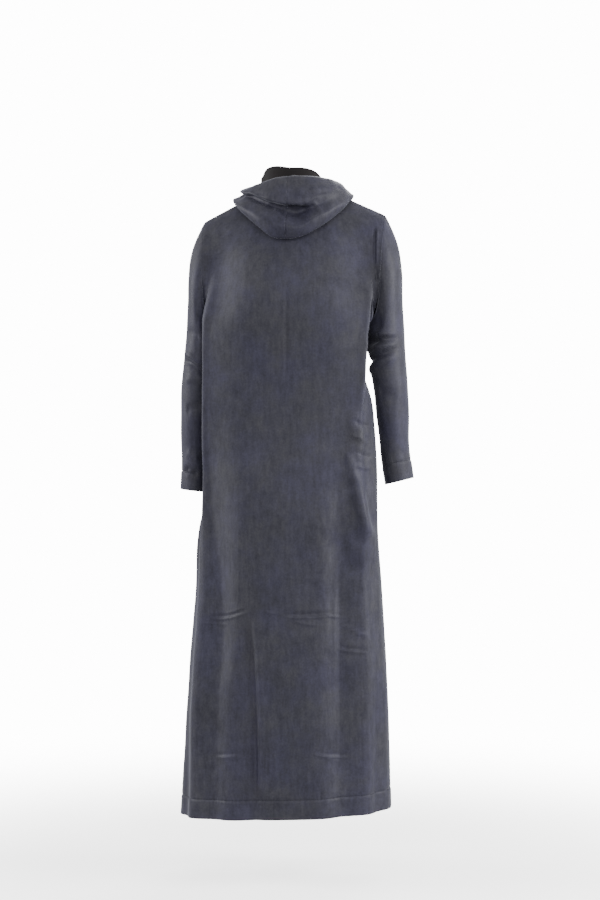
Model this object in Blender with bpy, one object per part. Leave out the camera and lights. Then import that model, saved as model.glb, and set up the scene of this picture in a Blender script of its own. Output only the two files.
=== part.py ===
"""Hooded thobe robe in its worn shape: cloth walls sewn at shoulders, sides, armholes and neck.

Metres, +Z up. The front faces -Y, the wearer's left is +X. The origin is the middle of the
neck's base, at the height of the shoulders, where the robe is carried.
"""

from collections import namedtuple

import bpy
import numpy as np
from mathutils import Vector
from mathutils.bvhtree import BVHTree

NAME = "thobe_robe"

# Cloth and seams
CLOTH = 0.002
HALF_SEAM = 0.00015
HOOD_SEAT = 0.0004
HOOD_CLEAR = 0.0035
SETTLE_PASSES = 3
SETTLE_SPOTS = [(i, j) for i in (0.5, 1.0) for j in (0.0, 0.5, 1.0)]

# Heights
UNDERARM_Z = -0.285
HEM_Z = -1.374

# Neck and shoulders
NECK_X = 0.077
NECK_Y = 0.0
NECK_Z = 0.033
NECK_BACK_Y = 0.056
NECK_BACK_Z = 0.036
NECK_FRONT_Y = -0.074
NECK_FRONT_Z = -0.026
SHOULDER_X = 0.206
SHOULDER_Z = -0.031
BAND_FLARE = -0.002
BAND_LEAN = 0.10
BAND_ROWS = 3
BAND_SEAT = 0.0005
SLIT_GAP = 0.007

# The right side is a little fuller and is carried a little higher
RIGHT_SCALE = 1.02
LEAN = 0.022
HEM_TILT = 0.045

# Columns of the wall around half of each panel, and rows down it
BACK_COLUMNS = (8, 4, 1, 1, 1, 2)
FRONT_COLUMNS = (5, 4, 5)
NECK_COLUMNS_BACK = 8
NECK_COLUMNS_FRONT = 5
UPPER_ROWS = 9
FOLD_START = 0.40
EDGE_REACH = 0.42
EDGE_REACH_LOW = 0.20
EDGE_TURN = 0.35
GATHER = 0.75
LOWER_ROWS = 20

# Height of the standing band at each angle round the neck from the middle back
Band = namedtuple("Band", "angle height")
BAND = [Band(0, 0.042), Band(35, 0.042), Band(60, 0.036), Band(90, 0.021), Band(180, 0.018)]

# Middle of the body: height, sideways shift of the middle, and the Y of the back and the front
Middle = namedtuple("Middle", "z shift back_y front_y")
MIDDLE = [
    Middle(-0.285, 0.000, 0.130, -0.128),
    Middle(-0.400, 0.002, 0.120, -0.128),
    Middle(-0.520, 0.004, 0.124, -0.132),
    Middle(-0.660, 0.006, 0.140, -0.136),
    Middle(-0.820, 0.009, 0.146, -0.134),
    Middle(-1.100, 0.012, 0.150, -0.138),
    Middle(-1.374, 0.015, 0.158, -0.150),
]

# One side of the body: the loose back corner and how round it is, the side seam, the front corner
Side = namedtuple("Side", "z corner_x corner_y round side_x side_y front_x front_y")
LEFT = [
    Side(-0.285, 0.1965, 0.085, 0.021, 0.146, 0.004, 0.138, -0.085),
    Side(-0.340, 0.1965, 0.086, 0.015, 0.143, 0.000, 0.138, -0.088),
    Side(-0.420, 0.1965, 0.086, 0.014, 0.153, 0.000, 0.142, -0.090),
    Side(-0.520, 0.1960, 0.086, 0.014, 0.160, 0.000, 0.148, -0.094),
    Side(-0.640, 0.1965, 0.082, 0.018, 0.178, 0.002, 0.156, -0.096),
    Side(-0.730, 0.2000, 0.074, 0.030, 0.210, 0.012, 0.170, -0.096),
    Side(-0.880, 0.1960, 0.082, 0.044, 0.221, 0.008, 0.176, -0.098),
    Side(-1.120, 0.2060, 0.090, 0.050, 0.241, 0.008, 0.186, -0.104),
    Side(-1.374, 0.2150, 0.098, 0.054, 0.256, 0.008, 0.194, -0.114),
]
RIGHT = [
    Side(-0.285, 0.1890, 0.085, 0.016, 0.146, 0.004, 0.138, -0.085),
    Side(-0.350, 0.1775, 0.086, 0.014, 0.145, 0.000, 0.138, -0.088),
    Side(-0.420, 0.1750, 0.088, 0.016, 0.176, 0.020, 0.146, -0.090),
    Side(-0.500, 0.1640, 0.090, 0.022, 0.187, 0.012, 0.150, -0.092),
    Side(-0.600, 0.1640, 0.088, 0.030, 0.193, 0.010, 0.154, -0.095),
    Side(-0.730, 0.1700, 0.084, 0.040, 0.194, 0.006, 0.160, -0.096),
    Side(-0.880, 0.1720, 0.084, 0.044, 0.204, 0.004, 0.166, -0.098),
    Side(-1.120, 0.1760, 0.090, 0.050, 0.217, 0.004, 0.174, -0.104),
    Side(-1.374, 0.1820, 0.098, 0.054, 0.224, 0.004, 0.182, -0.114),
]

# Armhole, down from the shoulder point: the back half and the front half
Armhole = namedtuple("Armhole", "back_x back_y back_z front_x front_y front_z")
ARMHOLE = [
    Armhole(0.204, 0.045, -0.083, 0.198, -0.034, -0.085),
    Armhole(0.201, 0.066, -0.150, 0.184, -0.054, -0.150),
    Armhole(0.196, 0.064, -0.220, 0.167, -0.050, -0.220),
    Armhole(0.181, 0.042, -0.266, 0.153, -0.028, -0.268),
]

# Sleeve rings below the fan: height, middle, half widths and how far the outer edge is lifted
Ring = namedtuple("Ring", "z mid_x mid_y half_x half_y lift")
SLEEVE_LEFT = [
    Ring(-0.360, 0.2130, -0.008, 0.0410, 0.061, 0.006),
    Ring(-0.420, 0.2215, -0.015, 0.0405, 0.060, 0.004),
    Ring(-0.480, 0.2265, -0.024, 0.0380, 0.058, 0.003),
    Ring(-0.570, 0.2310, -0.038, 0.0350, 0.055, 0.003),
    Ring(-0.652, 0.2360, -0.050, 0.0335, 0.053, 0.004),
]
SLEEVE_RIGHT = [
    Ring(-0.360, 0.2155, -0.008, 0.0405, 0.061, 0.006),
    Ring(-0.420, 0.2210, -0.015, 0.0385, 0.060, 0.004),
    Ring(-0.480, 0.2250, -0.024, 0.0365, 0.058, 0.003),
    Ring(-0.570, 0.2300, -0.038, 0.0330, 0.055, 0.003),
    Ring(-0.630, 0.2370, -0.050, 0.0330, 0.053, 0.008),
]
SLEEVE_FAN_ROWS = 7
SLEEVE_ROWS = 12
CAP_FULLNESS = 0.006

# Largest folds of each panel, from one end to the other: ends, half width and height out
Fold = namedtuple("Fold", "x_top z_top x_low z_low width height")
BACK_FOLDS = [
    Fold(-0.120, -0.560, -0.190, -0.830, 0.020, 0.010),
    Fold(-0.150, -0.700, -0.060, -0.980, 0.055, -0.008),
    Fold(-0.185, -0.900, -0.195, -1.330, 0.030, 0.006),
    Fold(0.205, -0.800, 0.222, -1.360, 0.022, 0.006),
    Fold(0.085, -0.930, 0.064, -1.374, 0.022, -0.008),
    Fold(0.150, -1.000, 0.150, -1.374, 0.045, 0.006),
    Fold(-0.060, -1.050, -0.090, -1.374, 0.050, 0.006),
]
FRONT_FOLDS = [
    Fold(0.110, -0.620, 0.150, -1.374, 0.034, 0.010),
    Fold(0.050, -0.760, 0.060, -1.374, 0.034, -0.009),
    Fold(-0.020, -0.680, -0.030, -1.374, 0.036, 0.008),
    Fold(-0.090, -0.720, -0.105, -1.374, 0.034, -0.009),
    Fold(-0.130, -0.600, -0.165, -1.374, 0.030, 0.009),
]

# Hood, worn down: at each angle round the neck from the middle back, the distance out from the
# neck's middle and the height of its lower tip, pouch, crease, roll, top edge and turned-in lip
Hood = namedtuple(
    "Hood",
    "angle tip_r tip_z pouch_r pouch_z crease_r crease_z roll_r roll_z top_r top_z lip_r lip_z",
)
HOOD_LEFT = [
    Hood(0, 0.120, -0.090, 0.136, -0.060, 0.107, -0.026, 0.122, -0.012, 0.090, 0.054, 0.075, 0.045),
    Hood(14, 0.121, -0.086, 0.137, -0.053, 0.110, -0.014, 0.122, -0.003, 0.091, 0.052, 0.076, 0.044),
    Hood(35, 0.124, -0.054, 0.138, -0.028, 0.113, 0.003, 0.122, 0.012, 0.092, 0.046, 0.077, 0.041),
    Hood(65, 0.127, -0.014, 0.138, -0.002, 0.115, 0.016, 0.122, 0.024, 0.099, 0.039, 0.084, 0.036),
    Hood(90, 0.131, 0.006, 0.137, 0.0135, 0.115, 0.026, 0.120, 0.032, 0.102, 0.040, 0.088, 0.038),
    Hood(130, 0.115, -0.025, 0.122, -0.009, 0.114, 0.005, 0.109, 0.014, 0.096, 0.022, 0.085, 0.019),
    Hood(180, 0.100, -0.065, 0.107, -0.048, 0.104, -0.036, 0.101, -0.026, 0.094, -0.017, 0.086, -0.020),
]
HOOD_RIGHT = [
    Hood(0, 0.120, -0.090, 0.136, -0.060, 0.107, -0.026, 0.122, -0.012, 0.090, 0.054, 0.075, 0.045),
    Hood(14, 0.121, -0.086, 0.135, -0.063, 0.105, -0.029, 0.124, -0.014, 0.091, 0.055, 0.076, 0.046),
    Hood(34, 0.124, -0.065, 0.139, -0.038, 0.123, -0.014, 0.126, 0.008, 0.093, 0.055, 0.078, 0.047),
    Hood(65, 0.127, -0.022, 0.138, -0.004, 0.130, 0.013, 0.122, 0.032, 0.099, 0.052, 0.084, 0.046),
    Hood(90, 0.131, 0.0085, 0.137, 0.018, 0.126, 0.030, 0.115, 0.042, 0.101, 0.049, 0.088, 0.045),
    Hood(130, 0.115, -0.023, 0.122, -0.007, 0.116, 0.009, 0.107, 0.019, 0.096, 0.026, 0.085, 0.023),
    Hood(180, 0.100, -0.063, 0.107, -0.046, 0.104, -0.034, 0.101, -0.024, 0.094, -0.015, 0.086, -0.018),
]
COLOURS = {
    "back_panel": (0.066, 0.068, 0.090),
    "front_panel": (0.060, 0.062, 0.084),
    "sleeve_left": (0.070, 0.072, 0.094),
    "sleeve_right": (0.070, 0.072, 0.094),
    "hood_left": (0.075, 0.077, 0.098),
    "hood_right": (0.075, 0.077, 0.098),
    "neckband": (0.028, 0.028, 0.036),
}


# Pieces of one family share their normals as one cloth, and meet another family's at a seam
FAMILIES = {
    "back_panel": "body",
    "front_panel": "body",
    "sleeve_left": "sleeve",
    "sleeve_right": "sleeve",
    "hood_left": "hood",
    "hood_right": "hood",
    "neckband": "band",
}


# Curves and tables

def hermite(start, start_slope, end, end_slope, t):
    """A cubic from start to end with those slopes."""
    t2, t3 = t * t, t * t * t
    return (
        (2 * t3 - 3 * t2 + 1) * start
        + (t3 - 2 * t2 + t) * start_slope
        + (3 * t2 - 2 * t3) * end
        + (t3 - t2) * end_slope
    )


def row_at(rows, key):
    """The table's row at a key between its rows, by smooth interpolation down each column."""
    table = np.array(rows, float)
    keys = table[:, 0]
    if keys[0] > keys[-1]:
        table, keys = table[::-1], keys[::-1]
    slopes = np.gradient(table, keys, axis=0)
    key = min(max(key, keys[0]), keys[-1])
    i = min(np.searchsorted(keys, key, side="right") - 1, len(keys) - 2)
    gap = keys[i + 1] - keys[i]
    values = hermite(
        table[i], slopes[i] * gap, table[i + 1], slopes[i + 1] * gap, (key - keys[i]) / gap
    )
    return type(rows[0])(*values)


def through(stations, counts, closed=True):
    """Points along a smooth curve through the stations, with that many steps between each two."""
    stations = [np.array(s, float) for s in stations]
    n = len(stations)
    gaps = [np.sqrt(np.linalg.norm(stations[(i + 1) % n] - stations[i])) for i in range(n)]
    slopes = []
    for i in range(n):
        before, here, after = stations[i - 1], stations[i], stations[(i + 1) % n]
        a, b = gaps[i - 1], gaps[i]
        if not closed and i == 0:
            slopes.append((after - here) / b)
        elif not closed and i == n - 1:
            slopes.append((here - before) / a)
        else:
            slopes.append((here - before) / a - (after - before) / (a + b) + (after - here) / b)
    points = []
    for i, count in enumerate(counts):
        j = (i + 1) % n
        for k in range(count):
            points.append(
                hermite(stations[i], slopes[i] * gaps[i], stations[j], slopes[j] * gaps[i], k / count)
            )
    if not closed:
        points.append(stations[-1])
    return np.array(points)


def smooth(t):
    """0 to 1 with level ends."""
    t = np.clip(t, 0.0, 1.0)
    return t * t * (3 - 2 * t)


def leaned(points):
    """The shoulders carried a little higher on the wearer's right, and the hem tilted likewise."""
    x, z = points[..., 0], points[..., 2]
    share = LEAN * smooth((z - UNDERARM_Z) / -UNDERARM_Z + 0.4)
    share = share + HEM_TILT * smooth((z - HEM_Z * 0.6) / (HEM_Z * 0.4))
    return points - np.stack([0 * share, 0 * share, share * x], axis=-1)


# Body

def half_back(side, middle, sign):
    """Stations from the middle back, left out, to the side seam, kept."""
    shift, r = middle.shift, side.round
    fall = middle.back_y - side.corner_y
    out = side.side_x - side.corner_x
    full = float(smooth(out / 0.03))
    share = 0.25 + 0.25 * full
    post_x = side.corner_x + share * out + 0.3 * max(0.0, out) + 0.45 * min(0.0, out)
    post_y = side.corner_y + (share + 0.05 * (1 - full)) * (side.side_y - side.corner_y)
    tip_x = side.corner_x - 0.1 * r * (1 - full)
    return [
        (shift + 0.52 * (sign * side.corner_x - shift), middle.back_y - 0.18 * fall),
        (sign * (side.corner_x - 1.1 * r), side.corner_y + 0.50 * r),
        (sign * tip_x, side.corner_y + 0.20 * r),
        (sign * (tip_x + 0.30 * r * full), side.corner_y - 0.45 * r),
        (sign * post_x, post_y),
        (sign * side.side_x, side.side_y),
    ]


def half_front(side, middle, sign):
    """Stations from the front corner to the one beside the middle front."""
    shift = middle.shift
    return [
        (sign * side.front_x, side.front_y),
        (shift + 0.5 * (sign * side.front_x - shift), middle.front_y + 0.006),
    ]


def body_ring(z):
    """The body's section at a height, from the middle back round by the wearer's left."""
    middle, left, right = row_at(MIDDLE, z), row_at(LEFT, z), row_at(RIGHT, z)
    stations = [(middle.shift, middle.back_y)]
    stations += half_back(left, middle, 1) + half_front(left, middle, 1)
    stations += [(middle.shift, middle.front_y)]
    stations += half_front(right, middle, -1)[::-1] + half_back(right, middle, -1)[::-1]
    counts = BACK_COLUMNS + FRONT_COLUMNS + FRONT_COLUMNS[::-1] + BACK_COLUMNS[::-1]
    flat = through(stations, counts)
    return np.column_stack([flat, np.full(len(flat), z)])


def back_part(ring):
    """The back panel's columns of a ring, from the wearer's right side seam to the left one."""
    half = sum(BACK_COLUMNS)
    return np.concatenate([ring[-half:], ring[: half + 1]])


def front_part(ring):
    """The front panel's columns of a ring, from the left side seam to the right one."""
    half = sum(BACK_COLUMNS)
    return ring[half : half + 2 * sum(FRONT_COLUMNS) + 1]


def armhole(sign):
    """The armhole's back and front halves, each from the shoulder point to the underarm."""
    side = row_at(LEFT if sign > 0 else RIGHT, UNDERARM_Z)
    k = 1.0 if sign > 0 else RIGHT_SCALE
    top = (sign * k * SHOULDER_X, 0.0, SHOULDER_Z)
    low = (sign * side.side_x, side.side_y, UNDERARM_Z)
    back = [(sign * k * a.back_x, a.back_y, a.back_z) for a in ARMHOLE]
    front = [(sign * k * a.front_x, a.front_y, a.front_z) for a in ARMHOLE]
    steps = 12
    loop = through([top] + back + [low] + front[::-1], [steps] * 10)
    halves = []
    for part in (loop[: 5 * steps + 1], np.concatenate([loop[5 * steps :], loop[:1]])[::-1]):
        along = np.concatenate([[0], np.cumsum(np.linalg.norm(np.diff(part, axis=0), axis=1))])
        at = np.linspace(0, along[-1], UPPER_ROWS + 1)
        halves.append(np.stack([np.interp(at, along, part[:, i]) for i in range(3)], axis=1))
    return halves


def gathered_out(row, outer):
    """The row with the columns beside each end drawn closer to that end."""
    places = np.arange(len(row), dtype=float)
    t = places[: outer + 1] / outer
    drawn = outer * (GATHER * t * t + (1 - GATHER) * t)
    places[: outer + 1] = drawn
    places[-outer - 1 :] = (len(row) - 1 - drawn)[::-1]
    return np.stack([np.interp(places, np.arange(len(row)), row[:, i]) for i in range(3)], axis=1)


def top_edge(is_back):
    """The panel's upper edge and the way the cloth leaves it: shoulder, neck and shoulder."""
    neck_steps = NECK_COLUMNS_BACK if is_back else NECK_COLUMNS_FRONT
    columns = sum(BACK_COLUMNS if is_back else FRONT_COLUMNS)
    middle = (
        (0.0, NECK_BACK_Y, NECK_BACK_Z) if is_back else (0.0, NECK_FRONT_Y, NECK_FRONT_Z)
    )
    outward = 1.0 if is_back else -1.0
    neck_l = np.array((NECK_X, NECK_Y, NECK_Z))
    neck_r = neck_l * (-1, 1, 1)
    lift = 0.004 if is_back else 0.006
    between = [
        (s * NECK_X * 0.70, NECK_Y + 0.68 * (middle[1] - NECK_Y), 0.5 * (NECK_Z + middle[2]) + lift)
        for s in (-1, 1)
    ]
    half = neck_steps // 2
    counts = (neck_steps - half, half, half, neck_steps - half)
    neck = through([neck_r, between[0], middle, between[1], neck_l], counts, closed=False)
    steps = columns - neck_steps
    tip_l = np.array((SHOULDER_X, 0.0, SHOULDER_Z))
    tip_r = np.array((-SHOULDER_X * RIGHT_SCALE, 0.0, SHOULDER_Z))
    right = [tip_r + (neck_r - tip_r) * k / steps for k in range(steps)]
    left = [neck_l + (tip_l - neck_l) * k / steps for k in range(1, steps + 1)]
    edge = np.array(right + list(neck) + left)
    edge = gathered_out(edge, steps)
    slopes = []
    for k in range(2 * columns + 1):
        near = max(0.0, 1 - abs(k - columns) / neck_steps)
        near = near ** 0.5
        slopes.append((0.10 * np.sign(edge[k][0]) * near, outward * (0.62 - 0.16 * near), -0.5 - 0.3 * near))
    return edge, np.array(slopes)


def unfolded(grid, counts):
    """The upper rows with the corner's fold fading out above the underarm."""
    half = grid.shape[1] // 2
    inner = counts[0]
    spans = (half - inner, inner, inner, half - inner)
    rows = [grid[0]]
    for r in range(1, grid.shape[0]):
        row = grid[r]
        picked = [row[0], row[half - inner], row[half], row[half + inner], row[-1]]
        plain = through(picked, spans, closed=False)
        if counts == BACK_COLUMNS:
            plain = gathered_out(plain, half - inner)
        share = smooth((r / (grid.shape[0] - 1) - FOLD_START) / (1 - FOLD_START))
        top_share = 1 - smooth(r / 3)
        keep = max(share, top_share)
        rows.append(plain * (1 - keep) + row * keep)
    return np.array(rows)


def folded(grid, folds):
    """The grid with each fold pushed out of it, or in where its height is below zero."""
    across = np.gradient(grid, axis=1)
    normal = np.cross(across, np.array((0.0, 0.0, 1.0)))
    normal /= np.linalg.norm(normal, axis=2)[..., None]
    middle = normal[:, normal.shape[1] // 2]
    normal *= np.where(middle[-1, 1] * grid[-1, grid.shape[1] // 2, 1] > 0, 1.0, -1.0)
    push = np.zeros(grid.shape[:2])
    for f in folds:
        start, end = np.array((f.x_top, f.z_top)), np.array((f.x_low, f.z_low))
        way = end - start
        flat = grid[..., [0, 2]] - start
        along = (flat @ way) / (way @ way)
        off = np.linalg.norm(flat - np.clip(along, 0, 1)[..., None] * way, axis=-1)
        fade = smooth(np.clip(along, 0, 1) / 0.35)
        if f.z_low > HEM_Z + 0.01:
            fade = fade * smooth((1 - np.clip(along, 0, 1)) / 0.35)
        push += f.height * fade * np.exp(-((off / f.width) ** 2))
    edge = np.minimum(np.arange(grid.shape[1]), np.arange(grid.shape[1])[::-1])
    push *= np.minimum(1.0, edge / 3)[None, :]
    return grid + normal * push[..., None]


def panel(is_back):
    """A grid of outer points of the back or front panel: rows down, columns across."""
    pick = back_part if is_back else front_part
    low = pick(body_ring(UNDERARM_Z))
    below = pick(body_ring(UNDERARM_Z - 0.01))
    edge, slopes = top_edge(is_back)
    if not is_back:
        edge, slopes = edge[::-1], slopes[::-1]
    reach = np.linalg.norm(low - edge, axis=1)[:, None]
    down = (below - low) / 0.01
    upper = [
        hermite(edge, slopes * reach, low, down * reach * 0.9, k / UPPER_ROWS)
        for k in range(UPPER_ROWS + 1)
    ]
    grid = np.array(upper)
    columns = grid.shape[1] - 1
    counts = BACK_COLUMNS if is_back else FRONT_COLUMNS[::-1]
    grid = unfolded(grid, counts)
    for end, sign in ((0, -1 if is_back else 1), (columns, 1 if is_back else -1)):
        seam = armhole(sign)[0 if is_back else 1]
        off = seam - grid[:, end]
        drop = smooth((np.arange(UPPER_ROWS + 1) / UPPER_ROWS - EDGE_TURN) / (1 - EDGE_TURN))
        reach = (EDGE_REACH + (EDGE_REACH_LOW - EDGE_REACH) * drop) * columns
        for c in range(columns + 1):
            share = np.maximum(0.0, 1 - abs(c - end) / reach) ** 2
            grid[:, c] += off * share[:, None]
    grid = leaned(grid)
    heights = UNDERARM_Z + (HEM_Z - UNDERARM_Z) * np.arange(1, LOWER_ROWS + 1) / LOWER_ROWS
    lower = leaned(np.array([pick(body_ring(z)) for z in heights]))
    return folded(np.concatenate([grid, lower]), BACK_FOLDS if is_back else FRONT_FOLDS)


# Sleeves

def sleeve(sign, back_grid, front_grid):
    """A grid of rings from the armhole down to the cuff, its columns round the arm."""
    rows = SLEEVE_LEFT if sign > 0 else SLEEVE_RIGHT
    back_edge = back_grid[: UPPER_ROWS + 1, -1 if sign > 0 else 0]
    front_edge = front_grid[: UPPER_ROWS + 1, 0 if sign > 0 else -1]
    loop = np.concatenate([back_edge, front_edge[1:-1][::-1]])
    turns = 2 * np.pi * np.arange(len(loop)) / len(loop)

    def ring(z):
        r = row_at(rows, z)
        x = r.mid_x + r.half_x * np.cos(turns)
        return np.column_stack(
            [sign * x, r.mid_y + r.half_y * np.sin(turns), z + r.lift * np.cos(turns)]
        )

    first, cuff = rows[0].z, rows[-1].z
    target = ring(first)
    down = (ring(first - 0.01) - target) / 0.01
    outer = ((1 + np.cos(turns)) / 2)[:, None]
    away = outer * np.array((sign * 0.42, 0, -0.90)) + (1 - outer) * np.array((sign * 0.60, 0, -0.80))
    reach = np.linalg.norm(target - loop, axis=1)[:, None]
    grid = [
        hermite(loop, away * reach * 0.9, target, down * reach, k / SLEEVE_FAN_ROWS)
        for k in range(SLEEVE_FAN_ROWS + 1)
    ]
    for k in range(1, SLEEVE_FAN_ROWS):
        rise = np.sin(np.pi * min(1.0, k / SLEEVE_FAN_ROWS / 0.6))
        grid[k] = grid[k] + outer * np.array((sign * CAP_FULLNESS * rise, 0, 0))
    grid += [ring(first + (cuff - first) * k / SLEEVE_ROWS) for k in range(1, SLEEVE_ROWS + 1)]
    return np.array(grid)


# Hood and neckband

def neck_line(back_grid, front_grid):
    """Points of both panels' top row round the neck, from the middle front by the left."""
    b, f = back_grid[0], front_grid[0]
    b_mid, f_mid = b.shape[0] // 2, f.shape[0] // 2
    nb, nf = NECK_COLUMNS_BACK, NECK_COLUMNS_FRONT
    left_front = f[f_mid - nf : f_mid + 1][::-1]
    back = b[b_mid - nb : b_mid + nb + 1][::-1]
    right_front = f[f_mid : f_mid + nf + 1][::-1]
    return np.concatenate([left_front, back[1:-1], right_front])


def angle_of(point):
    """Degrees round the neck from the middle back, the same on both sides."""
    return np.degrees(np.arctan2(abs(point[0]), point[1] - NECK_Y))


def neckband(line):
    """The standing band: rows up from the neck's edge, open at the middle front."""
    height = np.array([row_at(BAND, angle_of(q)).height + BAND_LEAN * q[0] for q in line])
    outward = line * (1, 1, 0)
    outward /= np.linalg.norm(outward, axis=1)[:, None]
    raised = np.column_stack([0 * height, 0 * height, height])
    shares = np.arange(BAND_ROWS + 1) / BAND_ROWS
    base = line + np.array((0.0, 0.0, BAND_SEAT))
    return np.array([base + (outward * BAND_FLARE + raised) * t for t in shares])


def laid(point, solid, height):
    """The point moved onto the body and out from it by that height."""
    place, normal, _, _ = solid.find_nearest(Vector(point))
    return np.array(place + normal * height)


def hood_half(sign, line, solid):
    """One half of the hood: rows from its seam at the neck under, round the tip and up to the lip."""
    count = len(line)
    half = count // 2
    picked = range(half, 0, -1) if sign > 0 else range(half, count - 1)
    columns = []
    for c in picked:
        base = line[c]
        angle = 0.0 if c == half else angle_of(base)
        h = row_at(HOOD_LEFT if sign > 0 else HOOD_RIGHT, angle)
        way = np.array((sign * np.sin(np.radians(angle)), np.cos(np.radians(angle)), 0.0))
        up = np.array((0.0, 0.0, 1.0))
        seam = laid(base + way * 0.004, solid, HOOD_SEAT)
        tip = way * h.tip_r + up * h.tip_z
        near = laid(base + way * 0.015, solid, HOOD_CLEAR)
        under = near + (tip - near) * 0.5
        stations = [seam, near, under, tip]
        for r, z in (
            (h.pouch_r, h.pouch_z),
            (h.crease_r, h.crease_z),
            (h.roll_r, h.roll_z),
            (h.top_r, h.top_z),
            (h.lip_r, h.lip_z),
        ):
            stations.append(way * r + up * z)
        columns.append(through(stations, (1, 2, 2, 2, 2, 2, 2, 1), closed=False))
    return settled(np.array(columns).transpose(1, 0, 2), solid)


def settled(grid, solid):
    """The hood's points lifted clear of the shoulders that they lie on; the first row is the seam."""
    rows, columns = grid.shape[:2]

    def lift(point, clear):
        place, normal, _, _ = solid.find_nearest(Vector(point))
        return np.array(normal) * max(0.0, clear - (Vector(point) - place).dot(normal))

    for _ in range(SETTLE_PASSES):
        for r in range(rows - 1):
            for c in range(columns - 1):
                for i, j in SETTLE_SPOTS:
                    upper = grid[r, c] * (1 - j) + grid[r, c + 1] * j
                    lower = grid[r + 1, c] * (1 - j) + grid[r + 1, c + 1] * j
                    clear = HOOD_CLEAR * min(1.0, (r + i) * 0.6 + 0.15)
                    move = lift(upper * (1 - i) + lower * i, clear)
                    grid[r + 1, c] += move
                    grid[r + 1, c + 1] += move
    return grid


# Walls

def faces_of(grid, closed, split=None):
    """Two triangles for each cell of the grid; split cuts the middle column open above that row."""
    rows, columns = grid.shape[:2]
    cells = []
    extra = {}
    points = list(grid.reshape(-1, 3))
    if split is not None:
        middle = columns // 2
        for r in range(split):
            extra[r] = len(points)
            points.append(grid[r, middle].copy())
    for r in range(rows - 1):
        for c in range(columns if closed else columns - 1):
            corner = []
            for i, j in ((r, c), (r + 1, c), (r + 1, (c + 1) % columns), (r, (c + 1) % columns)):
                index = i * columns + j
                if split is not None and j == columns // 2 and c >= columns // 2 and i in extra:
                    index = extra[i]
                corner.append(index)
            cells += [corner[:3], [corner[0], corner[2], corner[3]]]
    return np.array(points), cells, extra


def key_of(point):
    return tuple(np.round(np.asarray(point) * 1e6).astype(int))


def gather_normals(pieces):
    """Outward normals at every point, shared by the pieces that are sewn together there."""
    sums = {}
    for name, (points, cells, _) in pieces.items():
        family = FAMILIES[name]
        for cell in cells:
            a, b, c = (points[i] for i in cell)
            n = np.cross(b - a, c - a)
            for i in cell:
                own = sums.setdefault(key_of(points[i]), {})
                own[family] = own.get(family, 0) + n
    normals = {}
    for key, own in sums.items():
        total = sum(n / np.linalg.norm(n) for n in own.values())
        normals[key] = total / np.linalg.norm(total)
    return normals


def boundary_edges(cells):
    """Directed edges that only one cell has."""
    seen = {}
    for cell in cells:
        for i, a in enumerate(cell):
            b = cell[(i + 1) % 3]
            seen[(a, b)] = True
    return [(a, b) for a, b in seen if (b, a) not in seen]


def wall(name, points, cells, normals):
    """A closed cloth wall: outer cells, inner cells one thickness in, and rims along the edges."""
    edges = boundary_edges(cells)
    shift = np.zeros_like(points)
    ring = {}
    for a, b in edges:
        along = points[b] - points[a]
        for i in (a, b):
            inward = np.cross(normals[i], along)
            ring.setdefault(i, []).append(inward / max(np.linalg.norm(inward), 1e-12))
    for i, ways in ring.items():
        total = np.sum(ways, axis=0)
        share = max(1.0 + float(np.dot(ways[0], ways[-1])), 0.3)
        shift[i] = total / share
    outer = points + shift * HALF_SEAM
    inner = outer - normals * CLOTH
    count = len(points)
    faces = [tuple(cell) for cell in cells]
    faces += [tuple(count + i for i in reversed(cell)) for cell in cells]
    for a, b in edges:
        if key_of(points[a]) < key_of(points[b]):
            faces += [(b, a, count + b), (a, count + a, count + b)]
        else:
            faces += [(b, a, count + a), (b, count + a, count + b)]
    mesh = bpy.data.meshes.new(name)
    mesh.from_pydata([tuple(p) for p in np.concatenate([outer, inner])], [], faces)
    mesh.validate()
    mesh.shade_smooth()
    return mesh


def add_piece(name, mesh, collection):
    """An object of that mesh with its own material."""
    material = bpy.data.materials.new(name)
    material.use_nodes = True
    shader = material.node_tree.nodes["Principled BSDF"]
    shader.inputs["Base Color"].default_value = (*COLOURS[name], 1.0)
    shader.inputs["Roughness"].default_value = 0.75
    mesh.materials.append(material)
    piece = bpy.data.objects.new(name, mesh)
    collection.objects.link(piece)
    return piece


def facing_out(name, points, cells):
    """The cells turned so that they face away from the cloth's hollow."""
    if "hood" in name:
        return cells if name == "hood_left" else [cell[::-1] for cell in cells]
    centre = np.mean(points, axis=0) * (1, 1, 0) if "sleeve" in name else np.zeros(3)
    total = 0.0
    for cell in cells:
        a, b, c = (points[i] for i in cell)
        total += np.dot(np.cross(b - a, c - a), (a - centre) * (1, 1, 0))
    return cells if total > 0 else [cell[::-1] for cell in cells]


def open_slit(points, columns, extra):
    """Parts the two edges of the front's neck slit, widest at the neck."""
    for r, i in extra.items():
        apart = SLIT_GAP / 2 * (1 - r / len(extra)) + 2 * HALF_SEAM
        points[i][0] -= apart
        points[r * columns + columns // 2][0] += apart


def body_solid(pieces):
    """A search tree of the two panels' outer faces."""
    points, cells = [], []
    for name in ("back_panel", "front_panel"):
        p, f, _ = pieces[name]
        cells += [tuple(i + len(points) for i in cell) for cell in f]
        points += [tuple(q) for q in p]
    return BVHTree.FromPolygons(points, cells)


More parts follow.
